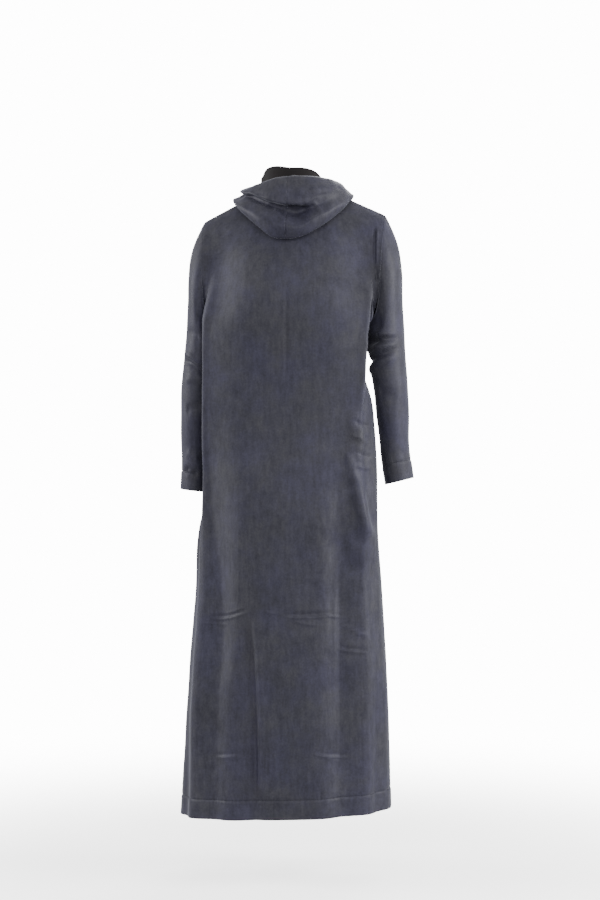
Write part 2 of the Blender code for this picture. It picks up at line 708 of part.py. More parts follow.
def main():
    for old in list(bpy.data.objects):
        bpy.data.objects.remove(old)
    collection = bpy.data.collections.new(NAME)
    bpy.context.scene.collection.children.link(collection)

    back, front = panel(True), panel(False)
    line = neck_line(back, front)
    slit_rows = UPPER_ROWS * 2 // 3
    pieces = {
        "back_panel": faces_of(back, False),
        "front_panel": faces_of(front, False, split=slit_rows),
        "sleeve_left": faces_of(sleeve(1, back, front), True),
        "sleeve_right": faces_of(sleeve(-1, back, front), True),
        "neckband": faces_of(neckband(line), False),
    }
    points, _, extra = pieces["front_panel"]
    open_slit(points, front.shape[1], extra)
    band = pieces["neckband"][0]
    ends = SLIT_GAP / 2 + 2 * HALF_SEAM
    for r in range(BAND_ROWS + 1):
        band[r * len(line)][0] += ends
        band[(r + 1) * len(line) - 1][0] -= ends
    pieces = {n: (p, facing_out(n, p, f), e) for n, (p, f, e) in pieces.items()}
    solid = body_solid(pieces)
    for name, sign in (("hood_left", 1), ("hood_right", -1)):
        p, f, e = faces_of(hood_half(sign, line, solid), False)
        pieces[name] = (p, facing_out(name, p, f), e)

    shared = gather_normals(pieces)
    for name, (p, f, _) in pieces.items():
        normals = np.array([shared[key_of(q)] for q in p])
        add_piece(name, wall(name, p, f, normals), collection)


main()
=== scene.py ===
"""Looks of the hooded thobe robe: its cloth, folds, hems and sewing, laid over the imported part.

Metres, +Z up. The front faces -Y and the wearer's left is +X, as in the part itself. Each piece of
cloth is worked out as a coarse form, drawn finer along smooth curves, creased, and given its
thickness.
"""

import math
from collections import namedtuple

import bpy
import numpy as np
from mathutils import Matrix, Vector
from mathutils.bvhtree import BVHTree


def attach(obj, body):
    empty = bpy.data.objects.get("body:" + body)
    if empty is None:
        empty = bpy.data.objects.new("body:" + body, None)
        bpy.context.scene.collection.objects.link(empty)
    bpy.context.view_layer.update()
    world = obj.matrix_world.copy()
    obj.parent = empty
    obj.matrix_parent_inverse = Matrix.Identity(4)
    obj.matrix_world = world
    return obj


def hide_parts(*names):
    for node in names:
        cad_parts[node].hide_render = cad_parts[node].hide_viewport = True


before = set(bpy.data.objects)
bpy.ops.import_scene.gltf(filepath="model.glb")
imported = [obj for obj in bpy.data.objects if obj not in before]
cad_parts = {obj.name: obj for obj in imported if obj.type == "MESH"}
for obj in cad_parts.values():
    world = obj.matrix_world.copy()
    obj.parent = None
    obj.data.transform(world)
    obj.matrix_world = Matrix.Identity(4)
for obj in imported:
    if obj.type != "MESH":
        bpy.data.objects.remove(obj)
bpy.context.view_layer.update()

# Cloth and seams
HALF_SEAM = 0.0001
THICKNESS = 0.0014
HEM_THICKNESS = 0.0028
HEM_DEPTH = 0.043
CUFF_DEPTH = 0.043
LIP_DEPTH = 0.020
SLIT_HALF = 0.0036

# Lines of sewing: how deep the cloth sinks there, and how far beside the line
Sewing = namedtuple("Sewing", "depth reach")
SEAM = Sewing(0.0011, 0.0040)
SLEEVE_SINK = Sewing(0.0026, 0.010)
ARM_SINK = Sewing(0.0035, 0.010)
HEM_LINE = Sewing(0.0012, 0.0022)
BAND_LINE = Sewing(0.0005, 0.0012)
HOOD_SEAM = Sewing(0.0004, 0.002)
LIP_LINE = Sewing(0.0008, 0.0018)

# Where the panels sink beside the sleeves, and how far that takes to fade at both ends
ARM_TOP = -0.150
ARM_LOW = -0.400
ARM_TOP_FADE = 0.05
ARM_LOW_FADE = 0.06
SLEEVE_SINK_TURN = 70
SLEEVE_SINK_START = 0.3
SLEEVE_EDGE_REACH = 0.004

# Hems: puckers, the turned cloth's step, and how far these take beside the line of sewing
PUCKER = 0.00035
PUCKER_LENGTHS = (0.013, 0.034)
PUCKER_REACH = 0.012
HEM_STEP = 0.0007
HEM_STEP_REACH = 0.004
THICK_REACH = 0.003
HEM_END_REACH = 0.006

# Unevenness of the cloth: its height, number of waves and their usual length on each piece
UNEVEN = 0.0008
WAVES = 14
PANEL_WAVE = 0.16
SLEEVE_WAVE = 0.12
HOOD_WAVE = 0.05

# Creases fade at their own ends, and all relief fades towards sewn edges
CREASE_FADE = 0.3
CREASE_START = 0.15
CALM_REACH = 0.03

# Rows of the form over which a fine edge is drawn onto the one that it is sewn to
JOIN_ROWS = 1.5

# Hood's clearance over the body, and the first row of its showing side
HOOD_LIFT = 0.0022
HOOD_SHOWS = 5.0
HOOD_SEAT = 0.0004
HOOD_CLEAR = 0.0035
SETTLE_PASSES = 3
SETTLE_SPOTS = [(i, j) for i in (0.5, 1.0) for j in (0.0, 0.5, 1.0)]

# Heights
UNDERARM_Z = -0.285
HEM_Z = -1.374

# Neck and shoulders
NECK_X = 0.077
NECK_Y = 0.0
NECK_Z = 0.033
NECK_BACK_Y = 0.056
NECK_BACK_Z = 0.036
NECK_FRONT_Y = -0.074
NECK_FRONT_Z = -0.026
SHOULDER_X = 0.206
SHOULDER_Z = -0.031
BAND_FLARE = -0.002
BAND_LEAN = 0.10
BAND_ROWS = 3
BAND_SEAT = 0.0005
BAND_LINE_DEPTH = 0.004
BAND_THICKNESS = THICKNESS * 1.2

# The right side is a little fuller and is carried a little higher
RIGHT_SCALE = 1.02
LEAN = 0.022
HEM_TILT = 0.045

# Columns of the wall around half of each panel, and rows down it
BACK_COLUMNS = (8, 4, 1, 1, 1, 2)
FRONT_COLUMNS = (5, 4, 5)
NECK_COLUMNS_BACK = 8
NECK_COLUMNS_FRONT = 5
UPPER_ROWS = 9
FOLD_START = 0.40
EDGE_REACH = 0.42
EDGE_REACH_LOW = 0.20
EDGE_TURN = 0.35
GATHER = 0.75
LOWER_ROWS = 20

# Height of the standing band at each angle round the neck from the middle back
Band = namedtuple("Band", "angle height")
BAND = [Band(0, 0.042), Band(35, 0.042), Band(60, 0.036), Band(90, 0.021), Band(180, 0.018)]

# Middle of the body: height, sideways shift of the middle, and the Y of the back and the front
Middle = namedtuple("Middle", "z shift back_y front_y")
MIDDLE = [
    Middle(-0.285, 0.000, 0.130, -0.128),
    Middle(-0.400, 0.002, 0.120, -0.128),
    Middle(-0.520, 0.004, 0.124, -0.132),
    Middle(-0.660, 0.006, 0.140, -0.136),
    Middle(-0.820, 0.009, 0.146, -0.134),
    Middle(-1.100, 0.012, 0.150, -0.138),
    Middle(-1.374, 0.015, 0.158, -0.150),
]

# One side of the body: the loose back corner and how round it is, the side seam, the front corner
Side = namedtuple("Side", "z corner_x corner_y round side_x side_y front_x front_y")
LEFT = [
    Side(-0.285, 0.1965, 0.085, 0.021, 0.146, 0.004, 0.138, -0.085),
    Side(-0.340, 0.1965, 0.086, 0.015, 0.143, 0.000, 0.138, -0.088),
    Side(-0.420, 0.1965, 0.086, 0.014, 0.153, 0.000, 0.142, -0.090),
    Side(-0.520, 0.1960, 0.086, 0.014, 0.160, 0.000, 0.148, -0.094),
    Side(-0.640, 0.1965, 0.082, 0.018, 0.178, 0.002, 0.156, -0.096),
    Side(-0.730, 0.2000, 0.074, 0.030, 0.210, 0.012, 0.170, -0.096),
    Side(-0.880, 0.1960, 0.082, 0.044, 0.221, 0.008, 0.176, -0.098),
    Side(-1.120, 0.2060, 0.090, 0.050, 0.241, 0.008, 0.186, -0.104),
    Side(-1.374, 0.2150, 0.098, 0.054, 0.256, 0.008, 0.194, -0.114),
]
RIGHT = [
    Side(-0.285, 0.1890, 0.085, 0.016, 0.146, 0.004, 0.138, -0.085),
    Side(-0.350, 0.1775, 0.086, 0.014, 0.145, 0.000, 0.138, -0.088),
    Side(-0.420, 0.1750, 0.088, 0.016, 0.176, 0.020, 0.146, -0.090),
    Side(-0.500, 0.1640, 0.090, 0.022, 0.187, 0.012, 0.150, -0.092),
    Side(-0.600, 0.1640, 0.088, 0.030, 0.193, 0.010, 0.154, -0.095),
    Side(-0.730, 0.1700, 0.084, 0.040, 0.194, 0.006, 0.160, -0.096),
    Side(-0.880, 0.1720, 0.084, 0.044, 0.204, 0.004, 0.166, -0.098),
    Side(-1.120, 0.1760, 0.090, 0.050, 0.217, 0.004, 0.174, -0.104),
    Side(-1.374, 0.1820, 0.098, 0.054, 0.224, 0.004, 0.182, -0.114),
]

# Armhole, down from the shoulder point: the back half and the front half
Armhole = namedtuple("Armhole", "back_x back_y back_z front_x front_y front_z")
ARMHOLE = [
    Armhole(0.204, 0.045, -0.083, 0.198, -0.034, -0.085),
    Armhole(0.201, 0.066, -0.150, 0.184, -0.054, -0.150),
    Armhole(0.196, 0.064, -0.220, 0.167, -0.050, -0.220),
    Armhole(0.181, 0.042, -0.266, 0.153, -0.028, -0.268),
]

# Sleeve rings below the fan: height, middle, half widths and how far the outer edge is lifted
Ring = namedtuple("Ring", "z mid_x mid_y half_x half_y lift")
SLEEVE_LEFT = [
    Ring(-0.360, 0.2130, -0.008, 0.0410, 0.061, 0.006),
    Ring(-0.420, 0.2215, -0.015, 0.0405, 0.060, 0.004),
    Ring(-0.480, 0.2265, -0.024, 0.0380, 0.058, 0.003),
    Ring(-0.570, 0.2310, -0.038, 0.0350, 0.055, 0.003),
    Ring(-0.652, 0.2360, -0.050, 0.0335, 0.053, 0.004),
]
SLEEVE_RIGHT = [
    Ring(-0.360, 0.2155, -0.008, 0.0405, 0.061, 0.006),
    Ring(-0.420, 0.2210, -0.015, 0.0385, 0.060, 0.004),
    Ring(-0.480, 0.2250, -0.024, 0.0365, 0.058, 0.003),
    Ring(-0.570, 0.2300, -0.038, 0.0330, 0.055, 0.003),
    Ring(-0.630, 0.2370, -0.050, 0.0330, 0.053, 0.008),
]
SLEEVE_FAN_ROWS = 7
SLEEVE_ROWS = 12
CAP_FULLNESS = 0.006

# Radius that turns degrees round a sleeve into metres across its flat pattern
SLEEVE_RADIUS = 0.05

# Largest folds of each panel, from one end to the other: ends, half width and height out
Fold = namedtuple("Fold", "x_top z_top x_low z_low width height")
BACK_FOLDS = [
    Fold(-0.120, -0.560, -0.190, -0.830, 0.020, 0.010),
    Fold(-0.150, -0.700, -0.060, -0.980, 0.055, -0.008),
    Fold(-0.185, -0.900, -0.195, -1.330, 0.030, 0.006),
    Fold(0.205, -0.800, 0.222, -1.360, 0.022, 0.006),
    Fold(0.085, -0.930, 0.064, -1.374, 0.022, -0.008),
    Fold(0.150, -1.000, 0.150, -1.374, 0.045, 0.006),
    Fold(-0.060, -1.050, -0.090, -1.374, 0.050, 0.006),
]
FRONT_FOLDS = [
    Fold(0.110, -0.620, 0.150, -1.374, 0.034, 0.010),
    Fold(0.050, -0.760, 0.060, -1.374, 0.034, -0.009),
    Fold(-0.020, -0.680, -0.030, -1.374, 0.036, 0.008),
    Fold(-0.090, -0.720, -0.105, -1.374, 0.034, -0.009),
    Fold(-0.130, -0.600, -0.165, -1.374, 0.030, 0.009),
]

# Hood, worn down: at each angle round the neck from the middle back, the distance out from the
# neck's middle and the height of its lower tip, pouch, crease, roll, top edge and turned-in lip
Hood = namedtuple(
    "Hood",
    "angle tip_r tip_z pouch_r pouch_z crease_r crease_z roll_r roll_z top_r top_z lip_r lip_z",
)
HOOD_LEFT = [
    Hood(0, 0.120, -0.090, 0.136, -0.060, 0.107, -0.026, 0.122, -0.012, 0.090, 0.054, 0.075, 0.045),
    Hood(14, 0.121, -0.086, 0.137, -0.053, 0.110, -0.014, 0.122, -0.003, 0.091, 0.052, 0.076, 0.044),
    Hood(35, 0.124, -0.054, 0.138, -0.028, 0.113, 0.003, 0.122, 0.012, 0.092, 0.046, 0.077, 0.041),
    Hood(65, 0.127, -0.014, 0.138, -0.002, 0.115, 0.016, 0.122, 0.024, 0.099, 0.039, 0.084, 0.036),
    Hood(90, 0.131, 0.006, 0.137, 0.0135, 0.115, 0.026, 0.120, 0.032, 0.102, 0.040, 0.088, 0.038),
    Hood(130, 0.115, -0.025, 0.122, -0.009, 0.114, 0.005, 0.109, 0.014, 0.096, 0.022, 0.085, 0.019),
    Hood(180, 0.100, -0.065, 0.107, -0.048, 0.104, -0.036, 0.101, -0.026, 0.094, -0.017, 0.086, -0.020),
]
HOOD_RIGHT = [
    Hood(0, 0.120, -0.090, 0.136, -0.060, 0.107, -0.026, 0.122, -0.012, 0.090, 0.054, 0.075, 0.045),
    Hood(14, 0.121, -0.086, 0.135, -0.063, 0.105, -0.029, 0.124, -0.014, 0.091, 0.055, 0.076, 0.046),
    Hood(34, 0.124, -0.065, 0.139, -0.038, 0.123, -0.014, 0.126, 0.008, 0.093, 0.055, 0.078, 0.047),
    Hood(65, 0.127, -0.022, 0.138, -0.004, 0.130, 0.013, 0.122, 0.032, 0.099, 0.052, 0.084, 0.046),
    Hood(90, 0.131, 0.0085, 0.137, 0.018, 0.126, 0.030, 0.115, 0.042, 0.101, 0.049, 0.088, 0.045),
    Hood(130, 0.115, -0.023, 0.122, -0.007, 0.116, 0.009, 0.107, 0.019, 0.096, 0.026, 0.085, 0.023),
    Hood(180, 0.100, -0.063, 0.107, -0.046, 0.104, -0.034, 0.101, -0.024, 0.094, -0.015, 0.086, -0.018),
]

# Finer cloth: places between two rows or columns of the form, and closer ones near an edge
ROW_STEPS = 6
COLUMN_STEPS = 5
SLEEVE_STEPS = 8
HOOD_STEPS = 8
BAND_STEPS = 4
BAND_COLUMN_STEPS = 3
BODY_ROWS_BELOW = 2
EDGE_PLACES = (0.04, 0.10, 0.30)
STITCH_PLACES = (-0.09, -0.045, -0.02, 0.0, 0.02, 0.045, 0.09)

# Creases of the cloth: ends, how far the middle bows aside, half width and height out
Crease = namedtuple("Crease", "x_top z_top x_low z_low bow width height")
BACK_CREASES = [
    Crease(0.0034, -0.190, 0.0050, -0.400, 0.000, 0.0022, 0.0012),
    Crease(-0.0030, -0.190, -0.0015, -0.400, 0.000, 0.0050, -0.0010),
    Crease(-0.1370, -0.560, -0.1592, -0.640, 0.003, 0.0080, 0.0070),
    Crease(-0.1592, -0.630, -0.1900, -0.770, 0.004, 0.0080, 0.0065),
    Crease(-0.1290, -0.600, -0.1700, -0.790, 0.004, 0.0100, -0.0050),
    Crease(-0.1850, -0.630, -0.1950, -0.730, 0.000, 0.0055, 0.0030),
    Crease(-0.1440, -0.470, -0.1700, -0.540, 0.004, 0.0180, 0.0040),
    Crease(-0.1480, -0.490, -0.1800, -0.506, 0.003, 0.0045, -0.0028),
    Crease(-0.1430, -0.525, -0.1760, -0.548, -0.004, 0.0045, 0.0028),
    Crease(-0.1560, -0.560, -0.1860, -0.575, 0.003, 0.0045, -0.0028),
    Crease(-0.1500, -0.590, -0.1840, -0.600, 0.002, 0.0040, 0.0026),
    Crease(-0.1666, -0.6408, -0.1900, -0.6415, 0.000, 0.0018, 0.0014),
    Crease(-0.1360, -0.803, -0.1669, -0.834, 0.000, 0.0150, -0.0035),
    Crease(-0.1690, -0.440, -0.1500, -0.560, 0.000, 0.0060, -0.0030),
    Crease(0.0788, -0.905, 0.0624, -1.372, -0.004, 0.0070, -0.0060),
    Crease(0.0650, -0.930, 0.0470, -1.372, -0.004, 0.0100, 0.0040),
    Crease(-0.1100, -0.850, -0.1110, -1.130, 0.000, 0.0060, 0.0020),
    Crease(-0.1180, -0.850, -0.1190, -1.130, 0.000, 0.0070, -0.0024),
    Crease(0.1740, -0.938, 0.0820, -0.918, 0.005, 0.0028, 0.0019),
    Crease(0.1740, -0.931, 0.0820, -0.911, 0.005, 0.0045, -0.0019),
    Crease(-0.0060, -0.929, -0.1080, -0.924, 0.002, 0.0028, 0.0018),
    Crease(-0.0060, -0.922, -0.1080, -0.917, 0.002, 0.0045, -0.0018),
    Crease(-0.1310, -0.943, -0.1784, -0.972, 0.002, 0.0030, 0.0022),
    Crease(-0.1290, -0.936, -0.1764, -0.965, 0.002, 0.0045, -0.0019),
    Crease(-0.1180, -1.001, -0.1780, -1.009, 0.001, 0.0028, 0.0017),
    Crease(-0.1180, -0.994, -0.1780, -1.002, 0.001, 0.0045, -0.0014),
    Crease(0.1560, -1.243, 0.1000, -1.234, 0.002, 0.0028, 0.0017),
    Crease(0.1560, -1.236, 0.1000, -1.227, 0.002, 0.0045, -0.0017),
    Crease(-0.0680, -1.229, -0.1390, -1.239, 0.002, 0.0028, 0.0017),
    Crease(-0.0680, -1.222, -0.1390, -1.232, 0.002, 0.0045, -0.0015),
    Crease(0.1500, -0.926, 0.0860, -0.905, 0.003, 0.0024, 0.0011),
    Crease(0.1880, -0.946, 0.1300, -0.948, 0.001, 0.0024, 0.0010),
    Crease(-0.0200, -0.936, -0.0900, -0.946, 0.003, 0.0024, 0.0011),
    Crease(-0.0900, -0.924, -0.1280, -0.930, 0.002, 0.0024, 0.0011),
    Crease(-0.1500, -0.952, -0.1760, -0.976, 0.001, 0.0024, 0.0010),
    Crease(0.0500, -0.915, 0.0050, -0.920, 0.002, 0.0026, 0.0009),
    Crease(0.1200, -1.243, 0.0840, -1.236, 0.001, 0.0024, 0.0009),
    Crease(-0.0900, -1.238, -0.1250, -1.246, 0.001, 0.0024, 0.0009),
    Crease(0.1960, -0.850, 0.2100, -1.330, 0.004, 0.0080, 0.0030),
    Crease(-0.1930, -0.840, -0.1980, -1.160, 0.003, 0.0120, 0.0045),
    Crease(0.1300, -0.350, 0.0900, -0.640, 0.010, 0.0350, 0.0020),
    Crease(-0.1900, -0.055, -0.1925, -0.150, 0.000, 0.0028, -0.0040),
    Crease(-0.1965, -0.055, -0.1985, -0.156, 0.000, 0.0040, 0.0055),
    Crease(-0.1930, -0.172, -0.2060, -0.172, 0.000, 0.0080, -0.0180),
    Crease(-0.1985, -0.200, -0.1830, -0.325, 0.000, 0.0060, -0.0070),
    Crease(-0.0600, -0.620, -0.0300, -0.880, 0.008, 0.0300, -0.0020),
]
FRONT_CREASES = [
    Crease(0.1120, -0.560, 0.1500, -1.372, 0.010, 0.0120, 0.0040),
    Crease(0.0850, -0.700, 0.1000, -1.372, -0.006, 0.0110, -0.0035),
    Crease(-0.0100, -0.620, -0.0250, -1.372, 0.006, 0.0110, 0.0035),
    Crease(-0.0550, -0.760, -0.0600, -1.372, 0.000, 0.0120, -0.0035),
    Crease(-0.1200, -0.520, -0.1600, -1.372, -0.010, 0.0120, 0.0040),
    Crease(0.1250, -0.230, 0.0800, -0.330, 0.006, 0.0090, -0.0030),
    Crease(-0.1250, -0.230, -0.0850, -0.320, -0.006, 0.0090, -0.0030),
    Crease(0.1350, -0.905, 0.0850, -0.935, 0.003, 0.0050, -0.0016),
    Crease(-0.0500, -0.915, -0.1100, -0.935, 0.003, 0.0050, -0.0016),
]

# Creases of a sleeve: degrees round the arm from its outer side by the back, and heights
Bend = namedtuple("Bend", "turn_top z_top turn_low z_low bow width height")
LEFT_BENDS = [
    Bend(55, -0.112, 85, -0.154, 0.002, 0.0040, -0.0067),
    Bend(30, -0.290, 105, -0.312, 0.005, 0.0120, -0.0043),
    Bend(25, -0.335, 110, -0.372, 0.005, 0.0080, 0.0050),
    Bend(30, -0.352, 125, -0.388, 0.005, 0.0080, -0.0074),
    Bend(50, -0.398, 125, -0.403, 0.002, 0.0090, 0.0039),
    Bend(60, -0.470, 120, -0.462, 0.004, 0.0120, -0.0035),
    Bend(60, -0.566, 115, -0.586, 0.003, 0.0100, 0.0043),
    Bend(50, -0.600, 115, -0.616, 0.003, 0.0080, -0.0063),
    Bend(200, -0.330, 320, -0.385, 0.012, 0.0130, -0.0050),
    Bend(210, -0.375, 310, -0.420, 0.010, 0.0120, -0.0045),
]
RIGHT_BENDS = [
    Bend(205, -0.286, 45, -0.300, 0.003, 0.0065, 0.0051),
    Bend(210, -0.311, 40, -0.306, 0.004, 0.0070, -0.0070),
    Bend(210, -0.327, 50, -0.321, 0.003, 0.0070, 0.0043),
    Bend(215, -0.365, 45, -0.330, 0.003, 0.0075, -0.0067),
    Bend(205, -0.384, 50, -0.346, 0.003, 0.0090, 0.0040),
    Bend(130, -0.420, 60, -0.440, 0.004, 0.0150, -0.0030),
    Bend(200, -0.330, 320, -0.385, 0.012, 0.0130, -0.0050),
    Bend(210, -0.375, 310, -0.420, 0.010, 0.0120, -0.0045),
    Bend(40, -0.560, 110, -0.578, 0.004, 0.0120, -0.0022),
]

# Creases of the hood's showing side
HOOD_CREASES = [
    Crease(0.0293, -0.0208, 0.0148, -0.0356, 0.000, 0.0036, 0.0026),
    Crease(0.0148, -0.0356, -0.0045, -0.0560, 0.000, 0.0036, 0.0022),
    Crease(0.0040, -0.0260, -0.0520, -0.0240, 0.000, 0.0090, -0.0040),
    Crease(0.0950, 0.0180, 0.0380, -0.0110, 0.003, 0.0050, -0.0050),
    Crease(0.0420, -0.0100, 0.0000, -0.0210, 0.001, 0.0050, -0.0055),
    Crease(0.0060, -0.0190, -0.0520, -0.0200, 0.002, 0.0050, -0.0055),
    Crease(-0.0080, -0.0380, -0.0300, -0.0330, 0.000, 0.0080, -0.0030),
    Crease(-0.0575, -0.0056, -0.0731, -0.0225, 0.000, 0.0042, 0.0034),
    Crease(-0.0700, -0.0200, -0.0782, -0.0330, 0.000, 0.0050, 0.0022),
    Crease(0.0144, 0.0460, 0.0100, 0.0260, 0.002, 0.0030, 0.0018),
    Crease(0.0052, 0.0500, 0.0052, 0.0280, 0.001, 0.0030, 0.0016),
    Crease(-0.0038, 0.0219, -0.0038, 0.0060, 0.001, 0.0032, 0.0018),
    Crease(0.0850, 0.0240, 0.0400, 0.0100, 0.003, 0.0060, -0.0022),
    Crease(-0.0441, 0.0124, -0.1000, 0.0215, 0.002, 0.0060, -0.0026),
    Crease(-0.1000, 0.0215, -0.1150, 0.0346, 0.000, 0.0050, -0.0020),
    Crease(-0.0236, 0.0464, -0.0302, 0.0287, 0.000, 0.0050, -0.0014),
    Crease(0.0300, -0.0500, 0.0600, -0.0380, 0.003, 0.0090, 0.0016),
    Crease(-0.0500, -0.0600, -0.0900, -0.0280, -0.003, 0.0090, 0.0014),
]

# Heights between which the cloth is drawn closer, for its short level creases
CloseBand = namedtuple("CloseBand", "high low step")
CLOSE_BANDS = [
    CloseBand(-0.480, -0.616, 0.0050),
    CloseBand(-0.905, -0.980, 0.0024),
    CloseBand(-0.990, -1.014, 0.0026),
    CloseBand(-1.216, -1.250, 0.0024),
]

# Colours, roughness and sheen of the cloths
Cloth = namedtuple("Cloth", "deep light grey roughness sheen")
ROBE = Cloth((0.0150, 0.0147, 0.0240), (0.0385, 0.0372, 0.0620), (0.0425, 0.0420, 0.0510), 0.60, 0.22)
# The neckband is cut from the robe's cloth; its far darker colour here is painted shade, standing in for the
# shadow of the head and hair above it, which are left out
BAND_SHADED_CLOTH = Cloth((0.0046, 0.0034, 0.0040), (0.0080, 0.0060, 0.0068), (0.0080, 0.0062, 0.0064), 0.75, 0.0)
THREAD = Cloth((0.017, 0.017, 0.024), (0.022, 0.022, 0.030), (0.022, 0.022, 0.027), 0.60, 0.10)
SHEEN_TINT = (0.80, 0.82, 0.95, 1.0)

# Camera, as the photograph was taken
CAMERA_TURN = 188.0
CAMERA_TARGET = (-0.0147, -0.0021, -0.5586)
CAMERA_DISTANCE = 4.56
LENS = 80.0
SENSOR = 36.0
FLOOR_Z = -1.520
FLOOR_REACH = 2.6
FLOOR_FADE = (0.15, 0.95)
FLOOR_TONE = (0.60, 0.60, 0.60, 1)
FLOOR_ROUGHNESS = 0.8
FLOOR_GLOW = 1.8

# Curves and tables

def hermite(start, start_slope, end, end_slope, t):
    """A cubic from start to end with those slopes."""
    t2, t3 = t * t, t * t * t
    return (
        (2 * t3 - 3 * t2 + 1) * start
        + (t3 - 2 * t2 + t) * start_slope
        + (3 * t2 - 2 * t3) * end
        + (t3 - t2) * end_slope
    )


def row_at(rows, key):
    """The table's row at a key between its rows, by smooth interpolation down each column."""
    table = np.array(rows, float)
    keys = table[:, 0]
    if keys[0] > keys[-1]:
        table, keys = table[::-1], keys[::-1]
    slopes = np.gradient(table, keys, axis=0)
    key = min(max(key, keys[0]), keys[-1])
    i = min(np.searchsorted(keys, key, side="right") - 1, len(keys) - 2)
    gap = keys[i + 1] - keys[i]
    values = hermite(
        table[i], slopes[i] * gap, table[i + 1], slopes[i + 1] * gap, (key - keys[i]) / gap
    )
    return type(rows[0])(*values)


def through(stations, counts, closed=True):
    """Points along a smooth curve through the stations, with that many steps between each two."""
    stations = [np.array(s, float) for s in stations]
    n = len(stations)
    gaps = [np.sqrt(np.linalg.norm(stations[(i + 1) % n] - stations[i])) for i in range(n)]
    slopes = []
    for i in range(n):
        before, here, after = stations[i - 1], stations[i], stations[(i + 1) % n]
        a, b = gaps[i - 1], gaps[i]
        if not closed and i == 0:
            slopes.append((after - here) / b)
        elif not closed and i == n - 1:
            slopes.append((here - before) / a)
        else:
            slopes.append((here - before) / a - (after - before) / (a + b) + (after - here) / b)
    points = []
    for i, count in enumerate(counts):
        j = (i + 1) % n
        for k in range(count):
            points.append(
                hermite(stations[i], slopes[i] * gaps[i], stations[j], slopes[j] * gaps[i], k / count)
            )
    if not closed:
        points.append(stations[-1])
    return np.array(points)


def smooth(t):
    """0 to 1 with level ends."""
    t = np.clip(t, 0.0, 1.0)
    return t * t * (3 - 2 * t)


def sampled(at, keys, points):
    """The points at those keys, on straight lines between them."""
    return np.stack([np.interp(at, keys, points[:, i]) for i in range(3)], axis=-1)


def leaned(points):
    """The shoulders carried a little higher on the wearer's right, and the hem tilted likewise."""
    x, z = points[..., 0], points[..., 2]
    share = LEAN * smooth((z - UNDERARM_Z) / -UNDERARM_Z + 0.4)
    share = share + HEM_TILT * smooth((z - HEM_Z * 0.6) / (HEM_Z * 0.4))
    return points - np.stack([0 * share, 0 * share, share * x], axis=-1)


# Body

def half_back(side, middle, sign):
    """Stations from the middle back, left out, to the side seam, kept."""
    shift, r = middle.shift, side.round
    fall = middle.back_y - side.corner_y
    out = side.side_x - side.corner_x
    full = float(smooth(out / 0.03))
    share = 0.25 + 0.25 * full
    post_x = side.corner_x + share * out + 0.3 * max(0.0, out) + 0.45 * min(0.0, out)
    post_y = side.corner_y + (share + 0.05 * (1 - full)) * (side.side_y - side.corner_y)
    tip_x = side.corner_x - 0.1 * r * (1 - full)
    return [
        (shift + 0.52 * (sign * side.corner_x - shift), middle.back_y - 0.18 * fall),
        (sign * (side.corner_x - 1.1 * r), side.corner_y + 0.50 * r),
        (sign * tip_x, side.corner_y + 0.20 * r),
        (sign * (tip_x + 0.30 * r * full), side.corner_y - 0.45 * r),
        (sign * post_x, post_y),
        (sign * side.side_x, side.side_y),
    ]


def half_front(side, middle, sign):
    """Stations from the front corner to the one beside the middle front."""
    shift = middle.shift
    return [
        (sign * side.front_x, side.front_y),
        (shift + 0.5 * (sign * side.front_x - shift), middle.front_y + 0.006),
    ]


def body_ring(z):
    """The body's section at a height, from the middle back round by the wearer's left."""
    middle, left, right = row_at(MIDDLE, z), row_at(LEFT, z), row_at(RIGHT, z)
    stations = [(middle.shift, middle.back_y)]
    stations += half_back(left, middle, 1) + half_front(left, middle, 1)
    stations += [(middle.shift, middle.front_y)]
    stations += half_front(right, middle, -1)[::-1] + half_back(right, middle, -1)[::-1]
    counts = BACK_COLUMNS + FRONT_COLUMNS + FRONT_COLUMNS[::-1] + BACK_COLUMNS[::-1]
    flat = through(stations, counts)
    return np.column_stack([flat, np.full(len(flat), z)])


def back_part(ring):
    """The back panel's columns of a ring, from the wearer's right side seam to the left one."""
    half = sum(BACK_COLUMNS)
    return np.concatenate([ring[-half:], ring[: half + 1]])


def front_part(ring):
    """The front panel's columns of a ring, from the left side seam to the right one."""
    half = sum(BACK_COLUMNS)
    return ring[half : half + 2 * sum(FRONT_COLUMNS) + 1]


def armhole(sign):
    """The armhole's back and front halves, each from the shoulder point to the underarm."""
    side = row_at(LEFT if sign > 0 else RIGHT, UNDERARM_Z)
    k = 1.0 if sign > 0 else RIGHT_SCALE
    top = (sign * k * SHOULDER_X, 0.0, SHOULDER_Z)
    low = (sign * side.side_x, side.side_y, UNDERARM_Z)
    back = [(sign * k * a.back_x, a.back_y, a.back_z) for a in ARMHOLE]
    front = [(sign * k * a.front_x, a.front_y, a.front_z) for a in ARMHOLE]
    steps = 12
    loop = through([top] + back + [low] + front[::-1], [steps] * 10)
    halves = []
    for part in (loop[: 5 * steps + 1], np.concatenate([loop[5 * steps :], loop[:1]])[::-1]):
        along = np.concatenate([[0], np.cumsum(np.linalg.norm(np.diff(part, axis=0), axis=1))])
        at = np.linspace(0, along[-1], UPPER_ROWS + 1)
        halves.append(sampled(at, along, part))
    return halves


def gathered_out(row, outer):
    """The row with the columns beside each end drawn closer to that end."""
    places = np.arange(len(row), dtype=float)
    t = places[: outer + 1] / outer
    drawn = outer * (GATHER * t * t + (1 - GATHER) * t)
    places[: outer + 1] = drawn
    places[-outer - 1 :] = (len(row) - 1 - drawn)[::-1]
    return sampled(places, np.arange(len(row)), row)


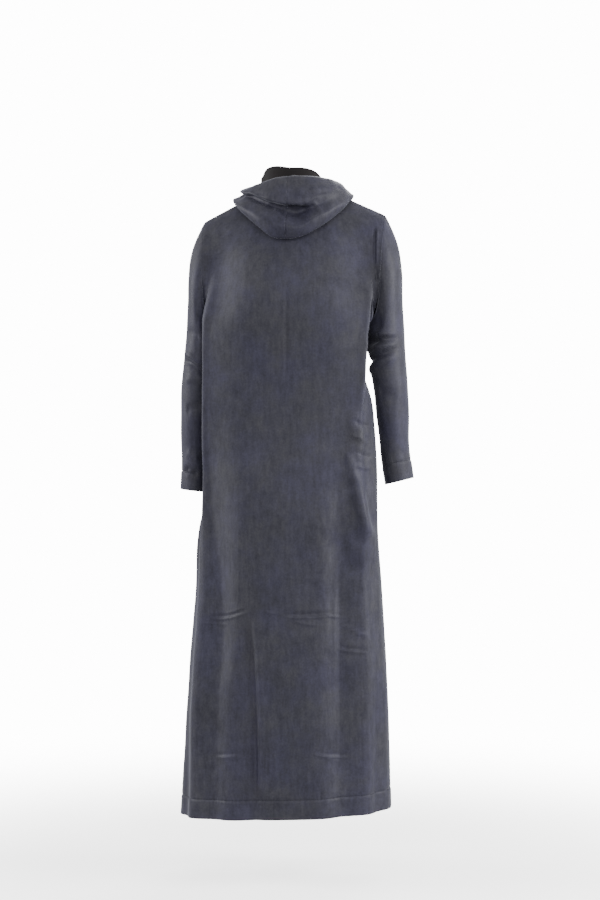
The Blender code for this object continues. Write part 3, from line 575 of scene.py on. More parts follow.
def top_edge(is_back):
    """The panel's upper edge and the way the cloth leaves it: shoulder, neck and shoulder."""
    neck_steps = NECK_COLUMNS_BACK if is_back else NECK_COLUMNS_FRONT
    columns = sum(BACK_COLUMNS if is_back else FRONT_COLUMNS)
    middle = (
        (0.0, NECK_BACK_Y, NECK_BACK_Z) if is_back else (0.0, NECK_FRONT_Y, NECK_FRONT_Z)
    )
    outward = 1.0 if is_back else -1.0
    neck_l = np.array((NECK_X, NECK_Y, NECK_Z))
    neck_r = neck_l * (-1, 1, 1)
    lift = 0.004 if is_back else 0.006
    between = [
        (s * NECK_X * 0.70, NECK_Y + 0.68 * (middle[1] - NECK_Y), 0.5 * (NECK_Z + middle[2]) + lift)
        for s in (-1, 1)
    ]
    half = neck_steps // 2
    counts = (neck_steps - half, half, half, neck_steps - half)
    neck = through([neck_r, between[0], middle, between[1], neck_l], counts, closed=False)
    steps = columns - neck_steps
    tip_l = np.array((SHOULDER_X, 0.0, SHOULDER_Z))
    tip_r = np.array((-SHOULDER_X * RIGHT_SCALE, 0.0, SHOULDER_Z))
    right = [tip_r + (neck_r - tip_r) * k / steps for k in range(steps)]
    left = [neck_l + (tip_l - neck_l) * k / steps for k in range(1, steps + 1)]
    edge = np.array(right + list(neck) + left)
    edge = gathered_out(edge, steps)
    slopes = []
    for k in range(2 * columns + 1):
        near = max(0.0, 1 - abs(k - columns) / neck_steps)
        near = near ** 0.5
        slopes.append((0.10 * np.sign(edge[k][0]) * near, outward * (0.62 - 0.16 * near), -0.5 - 0.3 * near))
    return edge, np.array(slopes)


def unfolded(grid, counts):
    """The upper rows with the corner's fold fading out above the underarm."""
    half = grid.shape[1] // 2
    inner = counts[0]
    spans = (half - inner, inner, inner, half - inner)
    rows = [grid[0]]
    for r in range(1, grid.shape[0]):
        row = grid[r]
        picked = [row[0], row[half - inner], row[half], row[half + inner], row[-1]]
        plain = through(picked, spans, closed=False)
        if counts == BACK_COLUMNS:
            plain = gathered_out(plain, half - inner)
        share = smooth((r / (grid.shape[0] - 1) - FOLD_START) / (1 - FOLD_START))
        top_share = 1 - smooth(r / 3)
        keep = max(share, top_share)
        rows.append(plain * (1 - keep) + row * keep)
    return np.array(rows)


def folded(grid, folds):
    """The grid with each fold pushed out of it, or in where its height is below zero."""
    across = np.gradient(grid, axis=1)
    normal = np.cross(across, np.array((0.0, 0.0, 1.0)))
    normal /= np.linalg.norm(normal, axis=2)[..., None]
    middle = normal[:, normal.shape[1] // 2]
    normal *= np.where(middle[-1, 1] * grid[-1, grid.shape[1] // 2, 1] > 0, 1.0, -1.0)
    push = np.zeros(grid.shape[:2])
    for f in folds:
        start, end = np.array((f.x_top, f.z_top)), np.array((f.x_low, f.z_low))
        way = end - start
        flat = grid[..., [0, 2]] - start
        along = (flat @ way) / (way @ way)
        off = np.linalg.norm(flat - np.clip(along, 0, 1)[..., None] * way, axis=-1)
        fade = smooth(np.clip(along, 0, 1) / 0.35)
        if f.z_low > HEM_Z + 0.01:
            fade = fade * smooth((1 - np.clip(along, 0, 1)) / 0.35)
        push += f.height * fade * np.exp(-((off / f.width) ** 2))
    edge = np.minimum(np.arange(grid.shape[1]), np.arange(grid.shape[1])[::-1])
    push *= np.minimum(1.0, edge / 3)[None, :]
    return grid + normal * push[..., None]


def panel(is_back):
    """A grid of outer points of the back or front panel: rows down, columns across."""
    pick = back_part if is_back else front_part
    low = pick(body_ring(UNDERARM_Z))
    below = pick(body_ring(UNDERARM_Z - 0.01))
    edge, slopes = top_edge(is_back)
    if not is_back:
        edge, slopes = edge[::-1], slopes[::-1]
    reach = np.linalg.norm(low - edge, axis=1)[:, None]
    down = (below - low) / 0.01
    upper = [
        hermite(edge, slopes * reach, low, down * reach * 0.9, k / UPPER_ROWS)
        for k in range(UPPER_ROWS + 1)
    ]
    grid = np.array(upper)
    columns = grid.shape[1] - 1
    counts = BACK_COLUMNS if is_back else FRONT_COLUMNS[::-1]
    grid = unfolded(grid, counts)
    for end, sign in ((0, -1 if is_back else 1), (columns, 1 if is_back else -1)):
        seam = armhole(sign)[0 if is_back else 1]
        off = seam - grid[:, end]
        drop = smooth((np.arange(UPPER_ROWS + 1) / UPPER_ROWS - EDGE_TURN) / (1 - EDGE_TURN))
        reach = (EDGE_REACH + (EDGE_REACH_LOW - EDGE_REACH) * drop) * columns
        for c in range(columns + 1):
            share = np.maximum(0.0, 1 - abs(c - end) / reach) ** 2
            grid[:, c] += off * share[:, None]
    grid = leaned(grid)
    heights = UNDERARM_Z + (HEM_Z - UNDERARM_Z) * np.arange(1, LOWER_ROWS + 1) / LOWER_ROWS
    lower = leaned(np.array([pick(body_ring(z)) for z in heights]))
    return folded(np.concatenate([grid, lower]), BACK_FOLDS if is_back else FRONT_FOLDS)


# Sleeves

def sleeve(sign, back_grid, front_grid):
    """A grid of rings from the armhole down to the cuff, its columns round the arm."""
    rows = SLEEVE_LEFT if sign > 0 else SLEEVE_RIGHT
    back_edge = back_grid[: UPPER_ROWS + 1, -1 if sign > 0 else 0]
    front_edge = front_grid[: UPPER_ROWS + 1, 0 if sign > 0 else -1]
    loop = np.concatenate([back_edge, front_edge[1:-1][::-1]])
    turns = 2 * np.pi * np.arange(len(loop)) / len(loop)

    def ring(z):
        r = row_at(rows, z)
        x = r.mid_x + r.half_x * np.cos(turns)
        return np.column_stack(
            [sign * x, r.mid_y + r.half_y * np.sin(turns), z + r.lift * np.cos(turns)]
        )

    first, cuff = rows[0].z, rows[-1].z
    target = ring(first)
    down = (ring(first - 0.01) - target) / 0.01
    outer = ((1 + np.cos(turns)) / 2)[:, None]
    away = outer * np.array((sign * 0.42, 0, -0.90)) + (1 - outer) * np.array((sign * 0.60, 0, -0.80))
    reach = np.linalg.norm(target - loop, axis=1)[:, None]
    grid = [
        hermite(loop, away * reach * 0.9, target, down * reach, k / SLEEVE_FAN_ROWS)
        for k in range(SLEEVE_FAN_ROWS + 1)
    ]
    for k in range(1, SLEEVE_FAN_ROWS):
        rise = np.sin(np.pi * min(1.0, k / SLEEVE_FAN_ROWS / 0.6))
        grid[k] = grid[k] + outer * np.array((sign * CAP_FULLNESS * rise, 0, 0))
    grid += [ring(first + (cuff - first) * k / SLEEVE_ROWS) for k in range(1, SLEEVE_ROWS + 1)]
    return np.array(grid)


# Hood and neckband

def neck_line(back_grid, front_grid):
    """Points of both panels' top row round the neck, from the middle front by the left."""
    b, f = back_grid[0], front_grid[0]
    b_mid, f_mid = b.shape[0] // 2, f.shape[0] // 2
    nb, nf = NECK_COLUMNS_BACK, NECK_COLUMNS_FRONT
    left_front = f[f_mid - nf : f_mid + 1][::-1]
    back = b[b_mid - nb : b_mid + nb + 1][::-1]
    right_front = f[f_mid : f_mid + nf + 1][::-1]
    return np.concatenate([left_front, back[1:-1], right_front])


def angle_of(point):
    """Degrees round the neck from the middle back, the same on both sides."""
    return np.degrees(np.arctan2(abs(point[0]), point[1] - NECK_Y))


def neckband(line):
    """The standing band: rows up from the neck's edge, open at the middle front."""
    height = np.array([row_at(BAND, angle_of(q)).height + BAND_LEAN * q[0] for q in line])
    outward = line * (1, 1, 0)
    outward /= np.linalg.norm(outward, axis=1)[:, None]
    raised = np.column_stack([0 * height, 0 * height, height])
    shares = np.arange(BAND_ROWS + 1) / BAND_ROWS
    base = line + np.array((0.0, 0.0, BAND_SEAT))
    return np.array([base + (outward * BAND_FLARE + raised) * t for t in shares])


def laid(point, solid, height):
    """The point moved onto the body and out from it by that height."""
    place, normal, _, _ = solid.find_nearest(Vector(point))
    return np.array(place + normal * height)


def hood_half(sign, line, solid):
    """One half of the hood: rows from its seam at the neck under, round the tip and up to the lip."""
    count = len(line)
    half = count // 2
    picked = range(half, 0, -1) if sign > 0 else range(half, count - 1)
    columns = []
    for c in picked:
        base = line[c]
        angle = 0.0 if c == half else angle_of(base)
        h = row_at(HOOD_LEFT if sign > 0 else HOOD_RIGHT, angle)
        way = np.array((sign * np.sin(np.radians(angle)), np.cos(np.radians(angle)), 0.0))
        up = np.array((0.0, 0.0, 1.0))
        seam = laid(base + way * 0.004, solid, HOOD_SEAT)
        tip = way * h.tip_r + up * h.tip_z
        near = laid(base + way * 0.015, solid, HOOD_CLEAR)
        under = near + (tip - near) * 0.5
        stations = [seam, near, under, tip]
        for r, z in (
            (h.pouch_r, h.pouch_z),
            (h.crease_r, h.crease_z),
            (h.roll_r, h.roll_z),
            (h.top_r, h.top_z),
            (h.lip_r, h.lip_z),
        ):
            stations.append(way * r + up * z)
        columns.append(through(stations, (1, 2, 2, 2, 2, 2, 2, 1), closed=False))
    return settled(np.array(columns).transpose(1, 0, 2), solid)


def rising(row):
    """Share of the hood's full clearance at a row, which grows from its seam."""
    return min(1.0, row * 0.6 + 0.15)


def settled(grid, solid):
    """The hood's points lifted clear of the shoulders that they lie on; the first row is the seam."""
    rows, columns = grid.shape[:2]

    def lift(point, clear):
        place, normal, _, _ = solid.find_nearest(Vector(point))
        return np.array(normal) * max(0.0, clear - (Vector(point) - place).dot(normal))

    for _ in range(SETTLE_PASSES):
        for r in range(rows - 1):
            for c in range(columns - 1):
                for i, j in SETTLE_SPOTS:
                    upper = grid[r, c] * (1 - j) + grid[r, c + 1] * j
                    lower = grid[r + 1, c] * (1 - j) + grid[r + 1, c + 1] * j
                    clear = HOOD_CLEAR * rising(r + i)
                    move = lift(upper * (1 - i) + lower * i, clear)
                    grid[r + 1, c] += move
                    grid[r + 1, c + 1] += move
    return grid

# Finer cloth

def along(grid, places, closed=False):
    """The grid's rows at those places, on smooth curves down its columns."""
    points = np.concatenate([grid[-1:], grid, grid[:2]]) if closed else grid
    steps = np.diff(points, axis=0)
    gaps = np.sqrt(np.maximum(np.linalg.norm(steps, axis=2), 1e-9))[..., None]
    before, after = gaps[:-1], gaps[1:]
    slopes = np.empty_like(points)
    slopes[1:-1] = (
        steps[:-1] / before
        - (points[2:] - points[:-2]) / (before + after)
        + steps[1:] / after
    )
    slopes[0] = steps[0] / gaps[0]
    slopes[-1] = steps[-1] / gaps[-1]
    at = np.asarray(places, float) + (1 if closed else 0)
    i = np.minimum(at.astype(int), len(points) - 2)
    t = (at - i)[:, None, None]
    gap = gaps[i]
    return hermite(points[i], slopes[i] * gap, points[i + 1], slopes[i + 1] * gap, t)


def finer(grid, rows, columns, closed=False):
    """The grid at those places down its rows and across its columns."""
    down = along(grid, rows)
    return along(down.transpose(1, 0, 2), columns, closed).transpose(1, 0, 2)


def places_for(count, steps, close=()):
    """Even places along that many rows, closer ones at both ends, and those given."""
    even = np.arange(count * steps + 1) / steps
    ends = [p for e in EDGE_PLACES for p in (e, count - e)]
    return np.unique(np.round(np.concatenate([even, ends, list(close)]), 5))


def arc(grid, axis):
    """Distance along the grid from its first row or column, in metres."""
    steps = np.linalg.norm(np.diff(grid, axis=axis), axis=2)
    total = np.cumsum(steps, axis=axis)
    shape = list(grid.shape[:2])
    shape[axis] = 1
    return np.concatenate([np.zeros(shape), total], axis=axis)


def normals_of(grid, closed, turned):
    """Outward normals of the grid's points."""
    if closed:
        across = np.roll(grid, -1, axis=1) - np.roll(grid, 1, axis=1)
    else:
        across = np.gradient(grid, axis=1)
    down = np.gradient(grid, axis=0)
    normals = np.cross(across, down)
    normals /= np.maximum(np.linalg.norm(normals, axis=2), 1e-12)[..., None]
    return -normals if turned else normals


def relief(flat, creases):
    """How far the creases push each point out, from its place on the flat pattern."""
    push = np.zeros(flat.shape[:2])
    for c in creases:
        start, end = np.array(c[0:2], float), np.array(c[2:4], float)
        way = end - start
        length = np.linalg.norm(way)
        way /= length
        side = np.array((-way[1], way[0]))
        offset = flat - start
        down = offset @ way / length
        inside = np.clip(down, 0, 1)
        across = offset @ side - c.bow * 4 * inside * (1 - inside)
        beyond = (down - inside) * length
        fade = smooth(inside / CREASE_FADE + CREASE_START)
        fade = fade * smooth((1 - inside) / CREASE_FADE + CREASE_START)
        push += c.height * fade * np.exp(-(across ** 2 + beyond ** 2) / c.width ** 2)
    return push


def uneven(points, reach, seed):
    """A slight waviness of the cloth, from a few long waves in fixed directions."""
    draw = np.random.default_rng(seed)
    total = np.zeros(points.shape[:2])
    for _ in range(WAVES):
        way = draw.normal(size=3)
        way /= np.linalg.norm(way)
        wave = reach * draw.uniform(0.5, 1.6)
        total += np.sin(points @ way * 2 * np.pi / wave + draw.uniform(0, 2 * np.pi))
    return total * UNEVEN / WAVES ** 0.5


def dip(distance, sewing=SEAM):
    """How far the cloth sinks at that distance from a line of sewing."""
    return -sewing.depth * np.exp(-((distance / sewing.reach) ** 2))


def from_sides(grid):
    """Distance from the nearer side edge of the grid."""
    across = arc(grid, 1)
    return np.minimum(across, across[:, -1:] - across)


def edge_fade(grid, reach):
    """0 on the side edges of a grid and 1 beyond that distance from them."""
    return smooth(from_sides(grid) / reach)


def sewn_edges(grid):
    """The sinking of a panel along its two sides and its top."""
    across = arc(grid, 1)
    return dip(across) + dip(across[:, -1:] - across) + dip(arc(grid, 0))


def hem_relief(from_edge, depth, place):
    """A turned hem's edge, its line of sewing and the slight puckers beside it."""
    line = from_edge - depth
    short, long = (place * 2 * np.pi / length for length in PUCKER_LENGTHS)
    puckers = PUCKER * np.sin(short) * np.sin(long + 1) * np.exp(-((line / PUCKER_REACH) ** 2))
    return dip(line, HEM_LINE) + HEM_STEP * smooth(-line / HEM_STEP_REACH) + puckers


def hem_thickness(from_edge, depth):
    """The cloth's thickness, doubled within a turned hem."""
    return THICKNESS + (HEM_THICKNESS - THICKNESS) * smooth((depth - from_edge) / THICK_REACH)


# Meshes

def cell_list(rows, columns, closed, split_rows=0):
    """Four corners of each cell; above the split the middle column has a second set of points."""
    span = columns if closed else columns - 1
    index = np.arange(rows * columns).reshape(rows, columns)
    second = index.copy()
    extra = np.arange(rows * columns, rows * columns + split_rows)
    middle = columns // 2
    second[:split_rows, middle] = extra
    cells = []
    for c in range(span):
        left = second[:, c] if c == middle else index[:, c]
        right = index[:, (c + 1) % columns]
        cells.append(np.stack([left[:-1], left[1:], right[1:], right[:-1]], axis=1))
    return np.concatenate(cells), index[:split_rows, middle], extra


def open_edges(cells):
    """Directed edges that only one cell has."""
    pairs = np.concatenate([cells[:, [i, (i + 1) % 4]] for i in range(4)])
    seen = set(map(tuple, pairs.tolist()))
    return [(a, b) for a, b in seen if (b, a) not in seen]


def added(name, data):
    """A new object in the scene."""
    made = bpy.data.objects.new(name, data)
    bpy.context.scene.collection.objects.link(made)
    return made


def meshed(name, points, faces, material):
    """A new piece with a smooth mesh."""
    mesh = bpy.data.meshes.new(name)
    mesh.from_pydata(points, [], faces)
    mesh.update()
    mesh.shade_smooth()
    mesh.materials.append(material)
    return added(name, mesh)


def shell(name, grid, normals, thickness, material, closed=False, turned=False, split_rows=0):
    """A thin closed wall of cloth: the outer face, the inner one and the edges between them."""
    rows, columns = grid.shape[:2]
    cells, own, extra = cell_list(rows, columns, closed, split_rows)
    outer = grid.reshape(-1, 3)
    out = normals.reshape(-1, 3)
    thick = np.broadcast_to(thickness, (rows, columns)).reshape(-1)
    if split_rows:
        outer = np.concatenate([outer, outer[own]])
        out = np.concatenate([out, out[own]])
        thick = np.concatenate([thick, thick[own]])
        apart = SLIT_HALF * (1 - np.arange(split_rows) / split_rows) ** 0.7 + HALF_SEAM
        sign = 1 if grid[0, 0, 0] > grid[0, -1, 0] else -1
        outer[own, 0] += sign * apart
        outer[extra, 0] -= sign * apart
    if turned:
        cells = cells[:, ::-1]
    inner = outer - out * thick[:, None]
    count = len(outer)
    faces = cells.tolist() + (cells[:, ::-1] + count).tolist()
    for a, b in sorted(open_edges(cells)):
        faces.append([b, a, count + a, count + b])
    return meshed(name, np.concatenate([outer, inner]).tolist(), faces, material)


# Sewing

STITCH_LENGTH = 0.0030
STITCH_GAP = 0.0009
THREAD_RADIUS = 0.00028
THREAD_LIFT = 0.0001
THREAD_SIDES = 5

# Rings of one stitch: share of its length, size against the radius, and rise against the radius
STITCH_RINGS = ((0.0, 0.25, -0.6), (0.18, 0.9, 0.4), (0.5, 1.1, 0.4), (0.82, 0.9, 0.4), (1.0, 0.25, -0.6))


def stitches(name, path, normals, material):
    """A row of sewn stitches lying along a path on the cloth."""
    steps = np.linalg.norm(np.diff(path, axis=0), axis=1)
    total = np.concatenate([[0], np.cumsum(steps)])
    pitch = STITCH_LENGTH + STITCH_GAP
    count = int(total[-1] / pitch)
    points, faces = [], []
    for k in range(count):
        ends = []
        for at in (k * pitch, k * pitch + STITCH_LENGTH):
            place = sampled(at, total, path)
            out = sampled(at, total, normals)
            ends.append((place + out * THREAD_LIFT, out / np.linalg.norm(out)))
        (a, out), (b, _) = ends
        way = (b - a) / np.linalg.norm(b - a)
        side = np.cross(way, out)
        first = len(points)
        for share, size, rise in STITCH_RINGS:
            middle = a + (b - a) * share + out * THREAD_RADIUS * rise
            for turn in range(THREAD_SIDES):
                angle = 2 * np.pi * turn / THREAD_SIDES
                points.append(
                    middle + (side * np.cos(angle) + out * np.sin(angle)) * THREAD_RADIUS * size
                )
        last = first + (len(STITCH_RINGS) - 1) * THREAD_SIDES
        for base in range(first, last, THREAD_SIDES):
            for t in range(THREAD_SIDES):
                u = (t + 1) % THREAD_SIDES
                faces.append((base + t, base + u, base + THREAD_SIDES + u, base + THREAD_SIDES + t))
        faces.append(tuple(first + t for t in reversed(range(THREAD_SIDES))))
        faces.append(tuple(last + t for t in range(THREAD_SIDES)))
    return meshed(name, [tuple(p) for p in points], faces, material)


# Finishes

# Noise textures of the cloth's surface
Noise = namedtuple("Noise", "scale detail roughness")
PATCHES = Noise(6.5, 4.0, 0.55)
MOTTLE = Noise(42.0, 3.0, 0.55)
STREAKS = Noise(110.0, 3.0, 0.60)
GRAIN = Noise(220.0, 2.0, 0.6)
THREADS = Noise(1500.0, 1.0, 0.5)
HUE = Noise(9.0, 5.0, 0.68)
STREAK_STRETCH = (1.0, 1.0, 0.22)

# Weights of the textures in each value, and the value that their sum starts from
SHADE_WEIGHTS = (0.9, 0.9, 1.0, 0.8)
SHADE_START = 0.5 - 1.80
HUE_WEIGHT = 5.0
HUE_START = -2.0
ROUGH_WEIGHTS = (0.16, 0.08)
ROUGH_START = -0.12
HEIGHT_WEIGHTS = (0.6, 0.5, 0.8)

BUMP_STRENGTH = 0.25
THREAD_BUMP_STRENGTH = 0.1
BUMP_DISTANCE = 0.0004
SHEEN_ROUGHNESS = 0.30
SPECULAR = 0.22


def new_group(name, inputs, outputs):
    """An empty node group with named inputs and outputs."""
    group = bpy.data.node_groups.new(name, "ShaderNodeTree")
    for label, kind, value in inputs:
        made = group.interface.new_socket(name=label, in_out="INPUT", socket_type=kind)
        made.default_value = value
    for label, kind in outputs:
        group.interface.new_socket(name=label, in_out="OUTPUT", socket_type=kind)
    return group, group.nodes.new("NodeGroupInput"), group.nodes.new("NodeGroupOutput")


def node(tree, kind, links=(), **values):
    """A node with its settings; links are (socket name, from socket) pairs."""
    made = tree.nodes.new(kind)
    for key, value in values.items():
        if key.startswith("in_"):
            made.inputs[key[3:].replace("_", " ")].default_value = value
        else:
            setattr(made, key, value)
    for socket, source in links:
        tree.links.new(source, made.inputs[socket])
    return made


def texture(tree, place, noise):
    """A noise texture's values at those places."""
    sizes = {"in_Scale": noise.scale, "in_Detail": noise.detail, "in_Roughness": noise.roughness}
    return node(tree, "ShaderNodeTexNoise", [("Vector", place)], **sizes).outputs["Fac"]


def weighed(tree, parts, start):
    """The sum of the values, each times its weight, from a starting value."""
    total = start
    for value, weight in parts:
        made = node(tree, "ShaderNodeMath", [(0, value)], operation="MULTIPLY_ADD")
        made.inputs[1].default_value = weight
        if isinstance(total, float):
            made.inputs[2].default_value = total
        else:
            tree.links.new(total, made.inputs[2])
        total = made.outputs[0]
    return total


def mixed(tree, share, first, second):
    """A colour between two, by that share of the second."""
    links = [("Factor", share), (6, first), (7, second)]
    return node(tree, "ShaderNodeMix", links, data_type="RGBA").outputs[2]


def napped_weave():
    """The cloth's surface: mottled nap, faint upright streaks and a fine close weave."""
    group, given, put = new_group(
        "napped_weave",
        [
            ("Deep", "NodeSocketColor", (0, 0, 0, 1)),
            ("Light", "NodeSocketColor", (1, 1, 1, 1)),
            ("Grey", "NodeSocketColor", (1, 1, 1, 1)),
            ("Roughness", "NodeSocketFloat", 0.6),
        ],
        [("Color", "NodeSocketColor"), ("Roughness", "NodeSocketFloat"), ("Height", "NodeSocketFloat")],
    )
    place = node(group, "ShaderNodeTexCoord").outputs["Object"]
    patches, mottle = texture(group, place, PATCHES), texture(group, place, MOTTLE)
    stretched = node(group, "ShaderNodeMapping", [("Vector", place)], in_Scale=STREAK_STRETCH)
    streaks = texture(group, stretched.outputs["Vector"], STREAKS)
    grain, threads, hue = (texture(group, place, noise) for noise in (GRAIN, THREADS, HUE))
    shade = weighed(group, zip((patches, mottle, streaks, grain), SHADE_WEIGHTS), SHADE_START)
    turn = weighed(group, [(hue, HUE_WEIGHT)], HUE_START)
    turn_kept = node(group, "ShaderNodeClamp", [("Value", turn)]).outputs[0]
    toned = mixed(group, turn_kept, given.outputs["Light"], given.outputs["Grey"])
    colour = mixed(group, shade, given.outputs["Deep"], toned)
    rough = weighed(group, zip((patches, mottle), ROUGH_WEIGHTS), ROUGH_START)
    total = node(group, "ShaderNodeMath", [(0, given.outputs["Roughness"]), (1, rough)], operation="ADD")
    height = weighed(group, zip((threads, streaks, mottle), HEIGHT_WEIGHTS), 0.0)
    for socket, value in (("Color", colour), ("Roughness", total.outputs[0]), ("Height", height)):
        group.links.new(value, put.inputs[socket])
    return group


def cloth_material(name, cloth, weave, bump=BUMP_STRENGTH):
    """A woven cloth with a low sheen that catches the light along its folds."""
    material = bpy.data.materials.new(name)
    material.use_nodes = True
    tree = material.node_tree
    shader = tree.nodes["Principled BSDF"]
    surface = node(tree, "ShaderNodeGroup", node_tree=weave)
    for socket, colour in (("Deep", cloth.deep), ("Light", cloth.light), ("Grey", cloth.grey)):
        surface.inputs[socket].default_value = (*colour, 1)
    surface.inputs["Roughness"].default_value = cloth.roughness
    height = [("Height", surface.outputs["Height"])]
    bumped = node(tree, "ShaderNodeBump", height, in_Strength=bump, in_Distance=BUMP_DISTANCE)
    tree.links.new(surface.outputs["Color"], shader.inputs["Base Color"])
    tree.links.new(surface.outputs["Roughness"], shader.inputs["Roughness"])
    tree.links.new(bumped.outputs["Normal"], shader.inputs["Normal"])
    shader.inputs["Sheen Weight"].default_value = cloth.sheen
    shader.inputs["Sheen Roughness"].default_value = SHEEN_ROUGHNESS
    shader.inputs["Sheen Tint"].default_value = SHEEN_TINT
    shader.inputs["Specular IOR Level"].default_value = SPECULAR
    return material


# Pieces

weave = napped_weave()
robe_cloth = cloth_material("robe_cloth", ROBE, weave)
# The neckband's material carries painted shade: a far darker colour in place of the shadow under the
# left-out head and hair
band_shaded_cloth = cloth_material("neckband_cloth", BAND_SHADED_CLOTH, weave)
thread = cloth_material("thread", THREAD, weave, THREAD_BUMP_STRENGTH)

back_form, front_form = panel(True), panel(False)
neck = neck_line(back_form, front_form)

last_row = UPPER_ROWS + LOWER_ROWS
row_height = (UNDERARM_Z - HEM_Z) / LOWER_ROWS
hem_line = last_row - HEM_DEPTH / row_height
close_rows = [hem_line + p for p in STITCH_PLACES]
for high, low, step in CLOSE_BANDS:
    close_rows += [UPPER_ROWS + (UNDERARM_Z - z) / row_height for z in np.arange(low, high, step)]
panel_rows = places_for(last_row, ROW_STEPS, close_rows)
upper_rows = panel_rows[panel_rows <= UPPER_ROWS]


def fine_panel(form, shoulder_columns):
    """A panel's fine grid before its creases, with straight shoulder seams."""
    count = form.shape[1]
    columns = places_for(count - 1, COLUMN_STEPS)
    grid = finer(form, panel_rows, columns)
    flat_top = sampled(columns, np.arange(count), form[0])
    straight = (columns <= shoulder_columns) | (columns >= count - 1 - shoulder_columns)
    move = np.where(straight[:, None], flat_top - grid[0], 0.0)
    return joined(grid, panel_rows, move)


def joined(grid, rows, move):
    """The grid with its top edge moved by that much, which fades out over the first rows."""
    return grid + smooth(1 - rows / JOIN_ROWS)[:, None, None] * move[None]


def sewn_sides(back, front):
    """Both panels with their side edges on one line below the underarm."""
    low = panel_rows >= UPPER_ROWS
    for b, f in ((-1, 0), (0, -1)):
        middle = (back[:, b] + front[:, f]) / 2
        back[low, b] = middle[low]
        front[low, f] = middle[low]
    return back, front


back = fine_panel(back_form, sum(BACK_COLUMNS) - NECK_COLUMNS_BACK)
front = fine_panel(front_form, sum(FRONT_COLUMNS) - NECK_COLUMNS_FRONT)
back, front = sewn_sides(back, front)


def dressed_panel(grid, turned, creases, seed):
    """The panel with its creases, unevenness, sewn edges and hem."""
    normals = normals_of(grid, False, turned)
    down, height = arc(grid, 0), grid[..., 2]
    from_hem = down[-1:] - down
    push = relief(grid[..., [0, 2]], creases) + uneven(grid, PANEL_WAVE, seed)
    push = push * edge_fade(grid, CALM_REACH) * smooth(down / CALM_REACH)
    push = push + sewn_edges(grid)
    beside_arm = smooth((ARM_TOP - height) / ARM_TOP_FADE) * smooth((height - ARM_LOW) / ARM_LOW_FADE)
    push = push + dip(from_sides(grid), ARM_SINK) * beside_arm
    push = push + hem_relief(from_hem, HEM_DEPTH, arc(grid, 1)) * edge_fade(grid, HEM_END_REACH)
    placed = grid + normals * push[..., None]
    return placed, normals_of(placed, False, turned), hem_thickness(from_hem, HEM_DEPTH)


def outward(grid, closed=False):
    """True if the grid's own normals face away from the upright through its middle."""
    normals = normals_of(grid, closed, False)
    centre = grid.reshape(-1, 3).mean(axis=0) * (1, 1, 0) if closed else np.zeros(3)
    flat = (grid - centre) * (1, 1, 0)
    return float((normals * flat).sum()) > 0


back_turned = not outward(back)
front_turned = not outward(front)
back_cloth, back_out, back_thick = dressed_panel(back, back_turned, BACK_CREASES, 3)
front_cloth, front_out, front_thick = dressed_panel(front, front_turned, FRONT_CREASES, 5)
slit_rows = int(np.sum(panel_rows < UPPER_ROWS * 2 // 3))
back_piece = shell("back", back_cloth, back_out, back_thick, robe_cloth, turned=not back_turned)
front_piece = shell(
    "front", front_cloth, front_out, front_thick, robe_cloth, turned=not front_turned, split_rows=slit_rows
)


def sleeve_grid(sign, down_places):
    """A sleeve's fine grid, sewn to both panels' fine edges, and the degrees round it."""
    form = sleeve(sign, back_form, front_form)
    around = np.concatenate([upper_rows, (2 * UPPER_ROWS - upper_rows)[::-1][1:-1]])
    grid = finer(form, down_places, around, closed=True)
    count = len(upper_rows)
    back_edge = back[:count, -1 if sign > 0 else 0]
    front_edge = front[:count, 0 if sign > 0 else -1]
    target = np.concatenate([back_edge, front_edge[::-1][1:-1]])
    return joined(grid, down_places, target - grid[0]), around / (2 * UPPER_ROWS) * 360


def pattern_place(turn):
    """Metres across a sleeve's flat pattern at those degrees round it."""
    return np.radians(turn) * SLEEVE_RADIUS


def sleeve_piece(name, sign, bends, seed):
    """One sleeve with its creases, its cuff and the cuff's stitches."""
    rows = SLEEVE_FAN_ROWS + SLEEVE_ROWS
    table = SLEEVE_LEFT if sign > 0 else SLEEVE_RIGHT
    cuff_line = rows - CUFF_DEPTH / ((table[0].z - table[-1].z) / SLEEVE_ROWS)
    down_places = places_for(rows, SLEEVE_STEPS, [cuff_line + p for p in STITCH_PLACES])
    grid, turns = sleeve_grid(sign, down_places)
    turned = not outward(grid, closed=True)
    across = np.broadcast_to(pattern_place(turns), grid.shape[:2])
    creases = [
        Crease(pattern_place(b.turn_top), b.z_top, pattern_place(b.turn_low), b.z_low, *b[4:]) for b in bends
    ]
    down = arc(grid, 0)
    from_cuff = down[-1:] - down
    push = relief(np.stack([across, grid[..., 2]], axis=-1), creases) + uneven(grid, SLEEVE_WAVE, seed)
    push = push * smooth(down / CALM_REACH) + dip(down)
    behind = smooth(np.minimum(turns, 360 - turns) / SLEEVE_SINK_TURN - SLEEVE_SINK_START)
    push = push + dip(down, SLEEVE_SINK) * behind * smooth(down / SLEEVE_EDGE_REACH)
    push = push + hem_relief(from_cuff, CUFF_DEPTH, across)
    placed = grid + normals_of(grid, True, turned) * push[..., None]
    out = normals_of(placed, True, turned)
    thick = hem_thickness(from_cuff, CUFF_DEPTH)
    piece = shell(name, placed, out, thick, robe_cloth, closed=True, turned=not turned)
    line = int(np.argmin(np.abs(down_places - cuff_line)))
    path, out_path = (np.concatenate([p[line], p[line][:1]]) for p in (placed, out))
    return piece, stitches(name + "_cuff_stitches", path, out_path, thread)


left_sleeve, left_stitches = sleeve_piece("sleeve_left_cloth", 1, LEFT_BENDS, 7)
right_sleeve, right_stitches = sleeve_piece("sleeve_right_cloth", -1, RIGHT_BENDS, 9)

hem_row = int(np.argmin(np.abs(panel_rows - hem_line)))
hem_path = np.concatenate([back_cloth[hem_row], front_cloth[hem_row]])
hem_out = np.concatenate([back_out[hem_row], front_out[hem_row]])
hem_stitches = stitches("hem_stitches", hem_path, hem_out, thread)


# Neckband and hood

